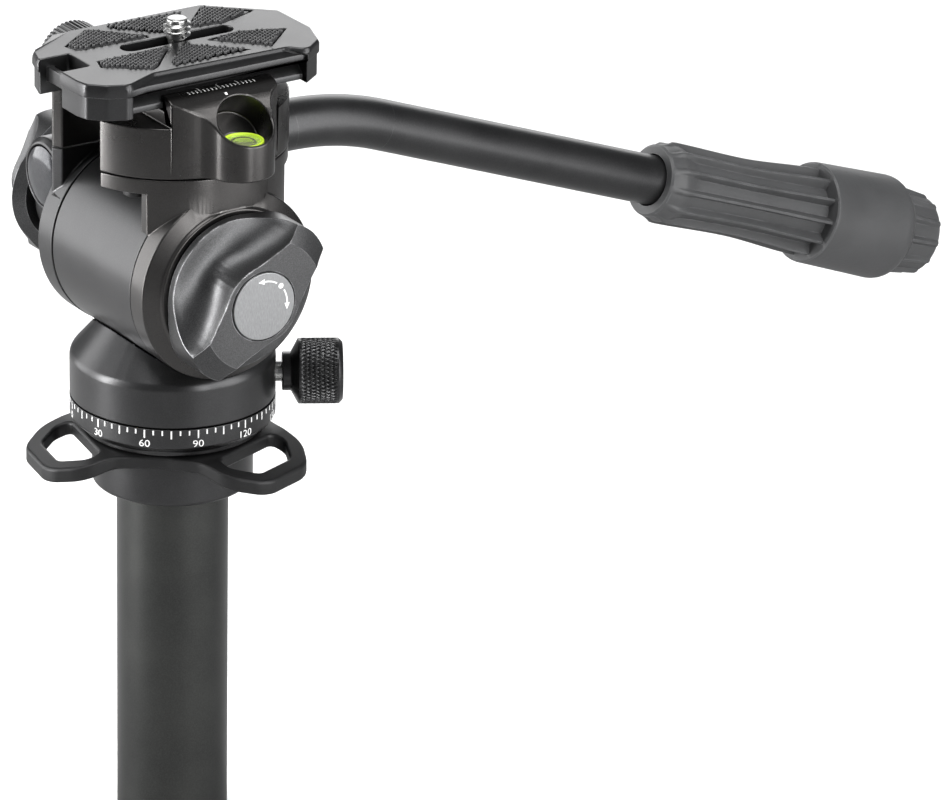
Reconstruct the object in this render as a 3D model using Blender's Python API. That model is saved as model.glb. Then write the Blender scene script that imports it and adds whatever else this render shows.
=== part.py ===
"""A fluid video head on the top of its centre column, as separate pieces. Metres, +Z up.

The origin is the centre of the column's lower end. The column stands along Z, the tilt axis lies
along X with the tilt lock knob at +X, the lens looks along -Y and the handle points along +Y.
"""

import math

import bmesh
import bpy
from mathutils import Matrix, Vector

MM = 0.001

# Clearances and overruns
GAP = 0.3 * MM
RUNNING_GAP = 0.35 * MM
OVERRUN = 1.0 * MM

# Facets round a circle, by the size of the piece
LARGE_SIDES = 40
MIDDLE_SIDES = 28
SMALL_SIDES = 12

# Column, collar and loop plate
COLUMN_SHOWN = 88.4 * MM
COLUMN_RADIUS = 12.9 * MM
COLUMN_WALL = 1.6 * MM
COLLAR_WALL = 5.7 * MM
COLLAR_RADIUS = COLUMN_RADIUS + COLLAR_WALL
COLLAR_HEIGHT = 10.0 * MM
COLLAR_EDGE = 0.8 * MM
COLLAR_ROOF = 3.0 * MM
LOOP_THICKNESS = 3.0 * MM
LOOP_COUNT = 3
LOOP_FIRST_ANGLE = math.radians(20)
LOOP_SLOPE = math.radians(11)
LOOP_HUB_RADIUS = 24.4 * MM
LOOP_BEND = 20.8 * MM
LOOP_ROOT = 18.0 * MM
LOOP_ROOT_HALF_WIDTH = 14.2 * MM
LOOP_SHOULDER_HALF_WIDTH = 13.2 * MM
LOOP_ARM = 13.0 * MM
LOOP_REACH = LOOP_BEND + LOOP_ARM
LOOP_TIP_HALF_WIDTH = 7.0 * MM
LOOP_CORNER = 2.6 * MM
LOOP_HOLE_ROOT_HALF_WIDTH = 10.6 * MM
LOOP_HOLE_TIP_HALF_WIDTH = 5.4 * MM
LOOP_HOLE_CORNER = 1.4 * MM
LOOP_SLAB_SHARE = 0.96
LOOP_SINK_SHARE = 0.02

# Fixed base of the head, with its scale
SCALE_RADIUS = 23.7 * MM
SCALE_HEIGHT = 5.5 * MM
SCALE_CHAMFER = 1.0 * MM
FOOT_RADIUS = 20.8 * MM
FOOT_HEIGHT = 2.2 * MM
STUD_RADIUS = 4.76 * MM
STUD_LENGTH = 14.0 * MM
STUD_IN_BASE = 5.0 * MM
POST_RADIUS = 6.5 * MM
POST_HEIGHT = 9.0 * MM
POST_FLANGE_RADIUS = 9.5 * MM
POST_FLANGE_HEIGHT = 1.4 * MM
POST_NUT_HEIGHT = 3.0 * MM
POST_NUT_RADIUS = 9.0 * MM
PAN_WASHER_RADIUS = 15.0 * MM
PAN_WASHER_THICKNESS = 0.8 * MM

# Pan housing
HOUSING_RADIUS = SCALE_RADIUS
HOUSING_WALL_HEIGHT = 9.0 * MM
HOUSING_SHOULDER = 1.4 * MM
HOUSING_SHOULDER_RADIUS = HOUSING_RADIUS - HOUSING_SHOULDER
HOUSING_SHOULDER_HEIGHT = 11.0 * MM
NECK_RADIUS = 15.6 * MM
NECK_HEIGHT = 20.0 * MM
NECK_RINGS = 5
HOUSING_BORE_DEPTH = 9.6 * MM

# Pan lock
PAN_LOCK_ANGLE = math.radians(60)
PAN_LOCK_HEIGHT = 4.7 * MM
PAN_STEM_RADIUS = 2.4 * MM
PAN_STEM_SHOWN = 1.4 * MM
PAN_STEM_INSIDE = 5.0 * MM
PAN_SHOE_RADIUS = 2.4 * MM
PAN_SHOE_LENGTH = 2.0 * MM
PAN_KNOB_NECK_RADIUS = 4.5 * MM
PAN_KNOB_NECK_LENGTH = 2.0 * MM
PAN_KNOB_CONE_LENGTH = 1.7 * MM
PAN_KNOB_RADIUS = 7.6 * MM
PAN_KNOB_LENGTH = 10.2 * MM
PAN_KNOB_CHAMFER = 0.9 * MM

# Tilt barrel and what turns in it
BARREL_RADIUS = 22.45 * MM
BARREL_ABOVE_SEAM = 11.95 * MM
TILT_HEIGHT = BARREL_RADIUS + BARREL_ABOVE_SEAM
BARREL_LEFT = -15.85 * MM
BARREL_RIGHT = 18.5 * MM
BARREL_WALL = 3.0 * MM
BARREL_END = 3.0 * MM
AXLE_RADIUS = 4.0 * MM
AXLE_SETBACK = 1.5 * MM
BUSH_RADIUS = 6.5 * MM
BUSH_FLANGE_RADIUS = 8.0 * MM
BUSH_FLANGE = 1.2 * MM
DRAG_ROOM = 1.95 * MM
DRAG_RADIUS = BARREL_RADIUS - BARREL_WALL - DRAG_ROOM
DRAG_THICKNESS = 2.2 * MM
DRAG_HUB_RADIUS = 7.0 * MM
DRAG_PAD_THICKNESS = 1.2 * MM
SADDLE_SCREW_RADIUS = 2.0 * MM
SADDLE_SCREW_HEAD_RADIUS = 3.5 * MM
SADDLE_SCREW_HEAD = 2.2 * MM
SADDLE_SCREW_LENGTH = 6.0 * MM
SADDLE_SCREW_PLACE = 10.5 * MM

# Cheeks of the tilting yoke
RING_STEP = 0.15 * MM
RING_RADIUS = BARREL_RADIUS + RING_STEP
LEFT_CHEEK_WIDTH = 7.05 * MM
LEFT_OUTER = BARREL_LEFT - LEFT_CHEEK_WIDTH
SLAB_THICKNESS = 4.4 * MM
SLAB_INNER = LEFT_OUTER + SLAB_THICKNESS
SLAB_HALF_WIDTH = 18.2 * MM
SLAB_NOSE = 1.4 * MM
SLAB_SEAM = RING_RADIUS
RIGHT_RING_WIDTH = 5.2 * MM
RIGHT_RING_OUTER = BARREL_RIGHT + RIGHT_RING_WIDTH
SHOULDER_STEP = 3.6 * MM
SHOULDER_RADIUS = RING_RADIUS - SHOULDER_STEP
SHOULDER_WIDTH = 0.8 * MM
SHOULDER_OUTER = RIGHT_RING_OUTER + SHOULDER_WIDTH
HUB_WIDTH = 1.9 * MM
HUB_OUTER = SHOULDER_OUTER + HUB_WIDTH
HUB_STEP = 0.7 * MM
HUB_RADIUS = SHOULDER_RADIUS - HUB_STEP
YOKE_RADIUS = 26.1 * MM
CHEEK_OVERHANG = 2.2 * MM
CHEEK_INNER = BARREL_RIGHT - CHEEK_OVERHANG
LEDGE_INNER = 9.0 * MM
LEDGE_RISE = 0.9 * MM
LEDGE_BOTTOM = RING_RADIUS + LEDGE_RISE
LEDGE_THICKNESS = 3.5 * MM
LEDGE_TOP = LEDGE_BOTTOM + LEDGE_THICKNESS
LEDGE_SCREW_RADIUS = 1.5 * MM
LEDGE_SCREW_HEAD_RADIUS = 2.75 * MM
LEDGE_SCREW_HEAD = 1.8 * MM
LEDGE_SCREW_DEPTH = 6.0 * MM
LEDGE_SCREW_X = 12.6 * MM
LEDGE_SCREW_Y = 17.5 * MM

# Clamp body, which the cheeks carry
BLOCK_HEIGHT = 12.4 * MM
BLOCK_TOP = LEDGE_TOP + BLOCK_HEIGHT
BLOCK_RADIUS = 26.3 * MM
BRIDGE_THICKNESS = 4.8 * MM
BRIDGE_BOTTOM = BLOCK_TOP - BRIDGE_THICKNESS
BRIDGE_HALF_LENGTH = 16.0 * MM
CLAMP_HALF_LENGTH = 14.0 * MM
POD_RISE = 6.8 * MM
POD_TOP = BLOCK_TOP + POD_RISE
POD_BOSS_SETBACK = 0.9 * MM
POD_BOSS_X = BLOCK_RADIUS - POD_BOSS_SETBACK
POD_BOSS_Y = 2.2 * MM
POD_BOSS_RADIUS = 7.8 * MM
POD_FILLET = 5.0 * MM
POD_FLAT = 6.8 * MM
POD_SLOPE_START = POD_BOSS_X - POD_FLAT
POD_SLOPE_LENGTH = 14.6 * MM
POD_SLOPE_DROP = 12.4 * MM
POD_SLOPE_POWER = 1.7
POD_SLOPE_POINTS = 8
LEVEL_RADIUS = 6.3 * MM
LEVEL_DEPTH = 14.7 * MM
LEVEL_FLOOR = POD_TOP - LEVEL_DEPTH
LEVEL_HEIGHT = 4.0 * MM
LEVEL_WALL = 0.7 * MM
LEVEL_LENS_HEIGHT = 0.9 * MM

# Clamp jaw, screw and knob
JAW_SKIRT = 7.8 * MM
JAW_SKIRT_BOTTOM = BLOCK_TOP - JAW_SKIRT
JAW_SKIRT_THICKNESS = 2.9 * MM
JAW_HALF_LENGTH = 13.0 * MM
JAW_FOOT_INNER = -13.0 * MM
CLAMP_SCREW_DEPTH = 2.4 * MM
CLAMP_SCREW_HEIGHT = BLOCK_TOP - CLAMP_SCREW_DEPTH
CLAMP_SCREW_Y = -5.0 * MM
CLAMP_SCREW_RADIUS = 2.5 * MM
CLAMP_SCREW_INNER = 6.0 * MM
CLAMP_KNOB_INNER = LEFT_OUTER - JAW_SKIRT_THICKNESS - 2 * GAP
CLAMP_KNOB_LENGTH = 11.0 * MM
CLAMP_KNOB_RADIUS = 8.4 * MM
CLAMP_KNOB_ROUNDING = 2.4 * MM
CLAMP_KNOB_NECK_RADIUS = 4.6 * MM
CLAMP_KNOB_NECK = 2.0 * MM

# Camera plate
RAIL_SINK = 2.8 * MM
RAIL_BOTTOM = POD_TOP - RAIL_SINK
PLATE_THICKNESS = 8.0 * MM
PLATE_TOP = RAIL_BOTTOM + PLATE_THICKNESS
PLATE_HALF_WIDTH = 20.0 * MM
PLATE_SIDE_SLOPE = 1.8 * MM
PLATE_TOP_HALF_WIDTH = PLATE_HALF_WIDTH - PLATE_SIDE_SLOPE
PLATE_FLANGE = 3.1 * MM
PLATE_FLANGE_BOTTOM = PLATE_TOP - PLATE_FLANGE
PLATE_CHAMFER = 0.7 * MM
PLATE_HALF_LENGTH = 31.5 * MM
PLATE_NOSE_HALF_WIDTH = 9.0 * MM
PLATE_CORNER_X = 14.2 * MM
PLATE_CORNER_Y = 30.6 * MM
PLATE_LOBE = 1.4 * MM
PLATE_LOBE_HALF_WIDTH = PLATE_HALF_WIDTH + PLATE_LOBE
PLATE_LOBE_START = 20.6 * MM
PLATE_LOBE_END = 23.4 * MM
PLATE_WAIST_END = 17.0 * MM
PLATE_LUG_DROP = 1.0 * MM
PLATE_LUG_BOTTOM = RAIL_BOTTOM - PLATE_LUG_DROP
PLATE_LUG_INSET = 1.8 * MM
PLATE_LUG_START = 22.6 * MM
RAIL_INSET = 1.1 * MM
RAIL_HALF_WIDTH = PLATE_HALF_WIDTH - RAIL_INSET
RAIL_UNDERCUT = 2.2 * MM
RAIL_NECK_HALF_WIDTH = RAIL_HALF_WIDTH - RAIL_UNDERCUT
RAIL_LIP = 1.3 * MM
RAIL_END = 23.4 * MM
SLOT_HALF_WIDTH = 2.4 * MM
SLOT_BACK = 15.5 * MM
SLOT_FRONT = 13.5 * MM
SLOT_RECESS_HALF_WIDTH = 6.0 * MM
SLOT_RECESS_DEPTH = 4.6 * MM
SLOT_ROUND_SHARE = 0.96
STRAP_HALF_WIDTH = 6.8 * MM
STRAP_BAR = 1.6 * MM
STRAP_DEPTH = 6.2 * MM
STRAP_BAR_SETBACK = 2.2 * MM
STRAP_BAR_TOP = PLATE_TOP - STRAP_BAR_SETBACK
STRAP_BAR_HEIGHT = 3.4 * MM
STRAP_BAR_BOTTOM = STRAP_BAR_TOP - STRAP_BAR_HEIGHT
PAD_RISE = 0.5 * MM
PAD_DEPTH = 0.7 * MM
PAD_CORNER = 0.35 * MM

# Camera screw
SCREW_RADIUS = 3.1 * MM
SCREW_NECK_RADIUS = 2.05 * MM
SCREW_CHAMFER = 0.62 * MM
SCREW_RISE = 4.9 * MM
SCREW_PLACE = 1.0 * MM
SCREW_HEAD_RADIUS = 5.4 * MM
SCREW_HEAD = 1.8 * MM
SCREW_COIN_WIDTH = 1.4 * MM
SCREW_COIN_DEPTH = 0.9 * MM
SCREW_WASHER = 0.8 * MM

# Wing knobs
KNOB_SEAT = 0.5 * MM
KNOB_BASE_X = HUB_OUTER + KNOB_SEAT
KNOB_RADIUS = 18.2 * MM
KNOB_WING_REACH = 20.6 * MM
KNOB_FACE_RADIUS = 10.2 * MM
KNOB_FACE_REACH = 19.6 * MM
KNOB_RIM = 3.2 * MM
KNOB_HEIGHT = 12.3 * MM
KNOB_UNDERCUT = 0.8 * MM
KNOB_FACE_POWER = 6
KNOB_TIP_POWER = 14
KNOB_LEVELS = 5
KNOB_WING_ANGLE = math.radians(42)
KNOB_DISC_RADIUS = 8.0 * MM
KNOB_DISC_THICKNESS = 0.9 * MM
KNOB_DISC_RECESS = 0.8 * MM
KNOB_BORE_SETBACK = 2.4 * MM
KNOB_WASHER_THICKNESS = 1.2 * MM

# Handle
HANDLE_OFFSET = 11.1 * MM
HANDLE_X = LEFT_OUTER - HANDLE_OFFSET
HANDLE_RISE = 9.9 * MM
TUBE_RADIUS = 6.15 * MM
TUBE_WALL = 1.3 * MM
TUBE_BEND_START = 51.3 * MM
TUBE_BEND_RADIUS = 75.0 * MM
TUBE_BEND_ANGLE = math.radians(20.5)
TUBE_BEND_STEPS = 6
TUBE_STRAIGHT = 150.0 * MM
SOCKET_WALL = 3.05 * MM
SOCKET_RADIUS = TUBE_RADIUS + SOCKET_WALL
SOCKET_FRONT = -15.8 * MM
SOCKET_BACK = 20.0 * MM
SOCKET_CHAMFER = 1.2 * MM
SOCKET_RIM = 2.1 * MM
SOCKET_CAP_RADIUS = SOCKET_RADIUS - SOCKET_RIM
SOCKET_CAP_THICKNESS = 2.0 * MM
SOCKET_CAP_DOME = 0.5 * MM
SOCKET_CAP_EDGE_SHARE = 0.75
SOCKET_CAP_RISE_SHARE = 0.2
ROSETTE_RADIUS = 13.0 * MM
ROSETTE_THICKNESS = 3.2 * MM
BLOCK_REACH = 9.4 * MM
BLOCK_OUTER = HANDLE_X - BLOCK_REACH
BLOCK_HUB_RADIUS = 11.0 * MM
HANDLE_SCREW_RADIUS = 2.5 * MM
HANDLE_SCREW_GRIP = 3.85 * MM
HANDLE_SCREW_INNER = BARREL_LEFT + HANDLE_SCREW_GRIP
HANDLE_KNOB_RADIUS = 15.6 * MM
HANDLE_KNOB_WING_REACH = 18.8 * MM
HANDLE_KNOB_FACE_RADIUS = 9.8 * MM
HANDLE_KNOB_FACE_REACH = 18.2 * MM
HANDLE_KNOB_ANGLE = math.radians(86)
HANDLE_WASHER_RADIUS = 7.0 * MM

# Grip
GRIP_COVER = 65.5 * MM
GRIP_START = TUBE_STRAIGHT - GRIP_COVER
GRIP_WALL = 4.15 * MM
GRIP_RADIUS = TUBE_RADIUS + GRIP_WALL
GRIP_FLUTE_DEPTH = 1.7 * MM
GRIP_FLUTES = 12
GRIP_NOSE = 4.2 * MM
GRIP_NOSE_SLOPE = 1.9 * MM
GRIP_NOSE_RADIUS = GRIP_RADIUS - GRIP_NOSE_SLOPE
GRIP_WAIST_STEP = 0.4 * MM
GRIP_WAIST_RADIUS = GRIP_RADIUS - GRIP_WAIST_STEP
GRIP_WAIST = 26.0 * MM
GRIP_FLUTE_END = 51.0 * MM
GRIP_COLLAR_STEP = 2.4 * MM
GRIP_COLLAR_RADIUS = GRIP_RADIUS + GRIP_COLLAR_STEP
GRIP_COLLAR_FLARE = 0.5 * MM
GRIP_COLLAR_END_RADIUS = GRIP_COLLAR_RADIUS + GRIP_COLLAR_FLARE
GRIP_COLLAR_LENGTH = 26.0 * MM
GRIP_COLLAR_ROUND = 3.0 * MM
GRIP_CAP_STEP = 1.3 * MM
GRIP_CAP_RADIUS = GRIP_RADIUS + GRIP_CAP_STEP
GRIP_CAP_END_RADIUS = GRIP_RADIUS
GRIP_CAP_EDGE = 0.5 * MM
GRIP_SIDES_PER_FLUTE = 5
GRIP_CAP_LENGTH = 10.5 * MM
GRIP_CAP_NOTCH_DEPTH = 1.1 * MM
GRIP_CAP_PLUG = 6.0 * MM

# Shares of a loop's arm: where its window starts, its shoulder, where its window ends
LOOP_ARM_SHARES = (0.092, 0.477, 0.677)

# Shares of the plate's half width and half length, for the rubber pads of its near side
PAD_FRONT_SHARES = ((0.225, -0.71), (0.44, -0.75), (0.83, -0.45), (0.77, -0.39), (0.26, -0.12), (0.19, -0.13))
PAD_MIDDLE_SHARES = ((0.72, -0.28), (0.86, -0.27), (0.84, 0.39), (0.19, 0.015))
PAD_REAR_SHARES = ((0.24, 0.19), (0.85, 0.53), (0.385, 0.82), (0.18, 0.49))


def material(name, colour, roughness, metallic):
    made = bpy.data.materials.new(name)
    made.use_nodes = True
    shader = made.node_tree.nodes["Principled BSDF"]
    shader.inputs["Base Color"].default_value = (*colour, 1)
    shader.inputs["Roughness"].default_value = roughness
    shader.inputs["Metallic"].default_value = metallic
    return made


def empty(name, parent, location):
    made = bpy.data.objects.new(name, None)
    bpy.context.scene.collection.objects.link(made)
    made.parent = parent
    made.location = location
    return made


def finish(name, mesh_build, surface, parent, location=(0, 0, 0)):
    """Turns a bmesh into a named object, with its faces out and round parts smooth."""
    bmesh.ops.recalc_face_normals(mesh_build, faces=mesh_build.faces)
    mesh = bpy.data.meshes.new(name)
    mesh_build.to_mesh(mesh)
    mesh_build.free()
    mesh.shade_smooth()
    mesh.set_sharp_from_angle(angle=math.radians(30))
    made = bpy.data.objects.new(name, mesh)
    bpy.context.scene.collection.objects.link(made)
    made.parent = parent
    made.location = location
    if surface:
        made.data.materials.append(surface)
    return made


def cutter(name, mesh_build, parent, location=(0, 0, 0)):
    made = finish(name, mesh_build, None, parent, location)
    made.hide_render = True
    made.display_type = "WIRE"
    return made


def boolean(target, other, operation):
    modifier = target.modifiers.new(other.name, "BOOLEAN")
    modifier.operation = operation
    modifier.object = other


def cut(target, *others):
    for other in others:
        boolean(target, other, "DIFFERENCE")


def unite(target, *others):
    for other in others:
        boolean(target, other, "UNION")


def turned(outline, sides):
    """A closed (radius, height) outline turned about Z. Points at radius zero become poles."""
    build = bmesh.new()
    rings = []
    for radius, height in outline:
        if radius == 0:
            rings.append([build.verts.new((0, 0, height))] * sides)
            continue
        angles = [math.tau * step / sides for step in range(sides)]
        rings.append([build.verts.new((radius * math.cos(a), radius * math.sin(a), height)) for a in angles])
    for index, ring in enumerate(rings):
        after = rings[(index + 1) % len(rings)]
        for step in range(sides):
            turn = (step + 1) % sides
            corners = list(dict.fromkeys((ring[step], ring[turn], after[turn], after[step])))
            if len(corners) > 2:
                build.faces.new(corners)
    return build


def rod(radius, low, high, sides):
    return turned(((0, low), (radius, low), (radius, high), (0, high)), sides)


def tube(inner, outer, low, high, sides):
    return turned(((inner, low), (outer, low), (outer, high), (inner, high)), sides)


def loft(rings):
    """A closed skin through rings of equally many points, with flat ends."""
    build = bmesh.new()
    levels = [[build.verts.new(point) for point in ring] for ring in rings]
    count = len(levels[0])
    for low, high in zip(levels, levels[1:]):
        for step in range(count):
            turn = (step + 1) % count
            build.faces.new((low[step], low[turn], high[turn], high[step]))
    build.faces.new(levels[0])
    build.faces.new(levels[-1])
    return build


def prism(outline, low, high):
    """A flat (x, y) outline as a solid between two heights."""
    return loft([[(x, y, height) for x, y in outline] for height in (low, high)])


def box(low, high):
    (x0, y0, z0), (x1, y1, z1) = low, high
    return prism(((x0, y0), (x1, y0), (x1, y1), (x0, y1)), z0, z1)


def along_x(build):
    """Turns a shape made along Z so that it lies along X."""
    bmesh.ops.transform(build, matrix=Matrix.Rotation(math.radians(90), 4, "Y"), verts=build.verts)
    return build


def along_y(build):
    """Turns a shape made along Z so that it lies along Y."""
    bmesh.ops.transform(build, matrix=Matrix.Rotation(math.radians(-90), 4, "X"), verts=build.verts)
    return build


def side_profile(outline, left, right):
    """A (y, z) outline as a solid between two places along X."""
    return loft([[(x, y, z) for y, z in outline] for x in (left, right)])


def front_profile(outline, back, front):
    """An (x, z) outline as a solid between two places along Y."""
    return loft([[(x, y, z) for x, z in outline] for y in (back, front)])


def moved(build, offset):
    bmesh.ops.translate(build, vec=offset, verts=build.verts)
    return build


def spun(build, angle, axis):
    bmesh.ops.rotate(build, cent=(0, 0, 0), matrix=Matrix.Rotation(angle, 3, axis), verts=build.verts)
    return build


def arc(centre, radius, start, end, steps):
    """Points from one angle to another, both ends included."""
    turns = [start + (end - start) * step / steps for step in range(steps + 1)]
    return [(centre[0] + radius * math.cos(a), centre[1] + radius * math.sin(a)) for a in turns]


def rounded(corners, radius, steps=4):
    """An outline with each corner rounded by a radius."""
    points = []
    count = len(corners)
    for index, corner in enumerate(corners):
        here = Vector(corner)
        before = (Vector(corners[index - 1]) - here).normalized()
        after = (Vector(corners[(index + 1) % count]) - here).normalized()
        half = before.angle(after) / 2
        reach = radius / math.tan(half)
        centre = here + (before + after).normalized() * radius / math.sin(half)
        first = here + before * reach - centre
        last = here + after * reach - centre
        turn = math.atan2(first.x * last.y - first.y * last.x, first.dot(last))
        start = math.atan2(first.y, first.x)
        points += arc(centre, radius, start, start + turn, steps)
    return points


def inset(corners, distance):
    """A counter-clockwise outline with each side moved inwards."""
    points = []
    count = len(corners)
    for index, corner in enumerate(corners):
        here = Vector(corner)
        before = (here - Vector(corners[index - 1])).normalized()
        after = (Vector(corners[(index + 1) % count]) - here).normalized()
        normal = Vector((-before.y - after.y, before.x + after.x)).normalized()
        reach = distance / normal.dot(Vector((-before.y, before.x)))
        points.append(tuple(here + normal * reach))
    return points


def mirrored(points):
    return [(-x, y) for x, y in reversed(points)]


def stack_heights():
    """Heights of the fixed pieces, from the column's lower end up."""
    collar = COLUMN_SHOWN
    loops = collar + COLLAR_HEIGHT + GAP
    foot = loops + LOOP_THICKNESS + GAP
    seam = foot + FOOT_HEIGHT + SCALE_HEIGHT
    return collar, loops, foot, seam


def make_column(surfaces):
    collar, loops, foot, seam = stack_heights()
    roof = collar + COLLAR_HEIGHT - COLLAR_ROOF
    column = tube(COLUMN_RADIUS - COLUMN_WALL, COLUMN_RADIUS, 0, roof - GAP, MIDDLE_SIDES)
    finish("column_tube", column, surfaces["tube"], None)
    top = collar + COLLAR_HEIGHT
    stud_hole = STUD_RADIUS + GAP
    sleeve = COLUMN_RADIUS + GAP
    outline = (
        (stud_hole, roof), (sleeve, roof), (sleeve, collar), (COLLAR_RADIUS - COLLAR_EDGE, collar),
        (COLLAR_RADIUS, collar + COLLAR_EDGE), (COLLAR_RADIUS, top), (stud_hole, top),
    )
    finish("column_collar", turned(outline, LARGE_SIDES), surfaces["black"], None)
    stud_top = foot + STUD_IN_BASE
    stud = rod(STUD_RADIUS, stud_top - STUD_LENGTH, stud_top, SMALL_SIDES)
    finish("mounting_stud", stud, surfaces["steel"], None)


def make_loop_plate(surfaces):
    """A flat ring under the scale, with three loops that slope down from it."""
    collar, loops, foot, seam = stack_heights()
    top = loops + LOOP_THICKNESS
    hub = tube(STUD_RADIUS + GAP, LOOP_HUB_RADIUS, loops, top, LARGE_SIDES)
    plate = finish("loop_plate", hub, surfaces["matt"], None)
    hole_start, shoulder, hole_end = (LOOP_BEND + LOOP_ARM * share for share in LOOP_ARM_SHARES)
    outline = rounded(
        ((LOOP_ROOT, -LOOP_ROOT_HALF_WIDTH), (shoulder, -LOOP_SHOULDER_HALF_WIDTH),
         (LOOP_REACH, -LOOP_TIP_HALF_WIDTH), (LOOP_REACH, LOOP_TIP_HALF_WIDTH),
         (shoulder, LOOP_SHOULDER_HALF_WIDTH), (LOOP_ROOT, LOOP_ROOT_HALF_WIDTH)),
        LOOP_CORNER, 3,
    )
    window = rounded(
        ((hole_start, -LOOP_HOLE_ROOT_HALF_WIDTH), (hole_end, -LOOP_HOLE_TIP_HALF_WIDTH),
         (hole_end, LOOP_HOLE_TIP_HALF_WIDTH), (hole_start, LOOP_HOLE_ROOT_HALF_WIDTH)),
        LOOP_HOLE_CORNER, 2,
    )
    thickness = LOOP_THICKNESS * LOOP_SLAB_SHARE
    below, above = loops - 3 * LOOP_THICKNESS, top + OVERRUN
    for index in range(LOOP_COUNT):
        turn = LOOP_FIRST_ANGLE + math.tau * index / LOOP_COUNT
        loop = cutter(f"loop_join_{index + 1}", spun(prism(outline, below, above), turn, "Z"), None)
        slab = box((0, -LOOP_REACH, -thickness), (LOOP_REACH, LOOP_REACH, 0))
        spun(slab, LOOP_SLOPE, "Y")
        moved(slab, (LOOP_BEND, 0, top - LOOP_THICKNESS * LOOP_SINK_SHARE))
        boolean(loop, cutter(f"loop_slope_{index + 1}", spun(slab, turn, "Z"), None), "INTERSECT")
        unite(plate, loop)
        hole = spun(prism(window, below, above), turn, "Z")
        cut(plate, cutter(f"loop_hole_cutter_{index + 1}", hole, None))


def make_base(surfaces):
    collar, loops, foot, seam = stack_heights()
    pocket = seam - POST_FLANGE_HEIGHT
    stud_hole = STUD_RADIUS + GAP
    washer_seat = seam - PAN_WASHER_THICKNESS / 2
    outline = (
        (stud_hole, foot), (FOOT_RADIUS, foot), (FOOT_RADIUS, foot + FOOT_HEIGHT - SCALE_CHAMFER),
        (SCALE_RADIUS - SCALE_CHAMFER, foot + FOOT_HEIGHT),
        (SCALE_RADIUS, foot + FOOT_HEIGHT + SCALE_CHAMFER), (SCALE_RADIUS, seam),
        (PAN_WASHER_RADIUS + GAP, seam), (PAN_WASHER_RADIUS + GAP, washer_seat),
        (POST_FLANGE_RADIUS + GAP, washer_seat), (POST_FLANGE_RADIUS + GAP, pocket), (stud_hole, pocket),
    )
    finish("scale_ring", turned(outline, LARGE_SIDES), surfaces["black"], None)


def make_pan_post(surfaces, pan):
    """The fixed post that the housing turns on, its nut and the washer under the housing."""
    low = GAP - POST_FLANGE_HEIGHT
    flange_top = low + POST_FLANGE_HEIGHT
    nut_low = POST_HEIGHT - POST_NUT_HEIGHT
    outline = (
        (0, low), (POST_FLANGE_RADIUS, low), (POST_FLANGE_RADIUS, flange_top),
        (POST_RADIUS, flange_top), (POST_RADIUS, POST_HEIGHT), (0, POST_HEIGHT),
    )
    finish("pan_post", turned(outline, SMALL_SIDES), surfaces["steel"], pan)
    nut = tube(POST_RADIUS + GAP, POST_NUT_RADIUS, nut_low, POST_HEIGHT, SMALL_SIDES)
    finish("pan_post_nut", nut, surfaces["steel"], pan)
    washer_low = GAP - PAN_WASHER_THICKNESS / 2
    washer_top = washer_low + PAN_WASHER_THICKNESS
    washer = tube(POST_FLANGE_RADIUS + GAP, PAN_WASHER_RADIUS, washer_low, washer_top, MIDDLE_SIDES)
    finish("pan_washer", washer, surfaces["bronze"], pan)


def housing_outline():
    washer_top = GAP + PAN_WASHER_THICKNESS / 2 + GAP
    web_top = POST_HEIGHT - POST_NUT_HEIGHT - GAP
    neck = []
    for step in range(NECK_RINGS + 1):
        turn = math.radians(90) * step / NECK_RINGS
        radius = HOUSING_SHOULDER_RADIUS - (HOUSING_SHOULDER_RADIUS - NECK_RADIUS) * math.sin(turn)
        height = NECK_HEIGHT - (NECK_HEIGHT - HOUSING_SHOULDER_HEIGHT) * math.cos(turn)
        neck.append((radius, height))
    return [
        (POST_RADIUS + RUNNING_GAP, washer_top), (PAN_WASHER_RADIUS + GAP, washer_top),
        (PAN_WASHER_RADIUS + GAP, GAP), (HOUSING_RADIUS, GAP), (HOUSING_RADIUS, HOUSING_WALL_HEIGHT),
        *neck, (0, NECK_HEIGHT), (0, HOUSING_BORE_DEPTH),
        (POST_NUT_RADIUS + GAP, HOUSING_BORE_DEPTH), (POST_NUT_RADIUS + GAP, web_top),
        (POST_RADIUS + RUNNING_GAP, web_top),
    ]


def make_pan_housing(surfaces, pan, tilt):
    housing = finish("pan_housing", turned(housing_outline(), LARGE_SIDES), surfaces["black"], pan)
    long = 2 * HOUSING_RADIUS
    saddle = along_x(rod(BARREL_RADIUS + GAP, -long, long, LARGE_SIDES))
    left = along_x(rod(RING_RADIUS + RUNNING_GAP, -long, BARREL_LEFT, LARGE_SIDES))
    right = along_x(rod(RING_RADIUS + RUNNING_GAP, BARREL_RIGHT, long, LARGE_SIDES))
    cut(housing, cutter("saddle_cutter", saddle, tilt))
    cut(housing, cutter("left_ring_room_cutter", left, tilt), cutter("right_ring_room_cutter", right, tilt))
    hole_reach = HOUSING_RADIUS + OVERRUN
    stem_hole = along_x(rod(PAN_STEM_RADIUS + GAP, POST_NUT_RADIUS, hole_reach, SMALL_SIDES))
    spun(stem_hole, PAN_LOCK_ANGLE, "Z")
    cut(housing, cutter("pan_stem_hole_cutter", moved(stem_hole, (0, 0, PAN_LOCK_HEIGHT)), pan))
    return housing


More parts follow.
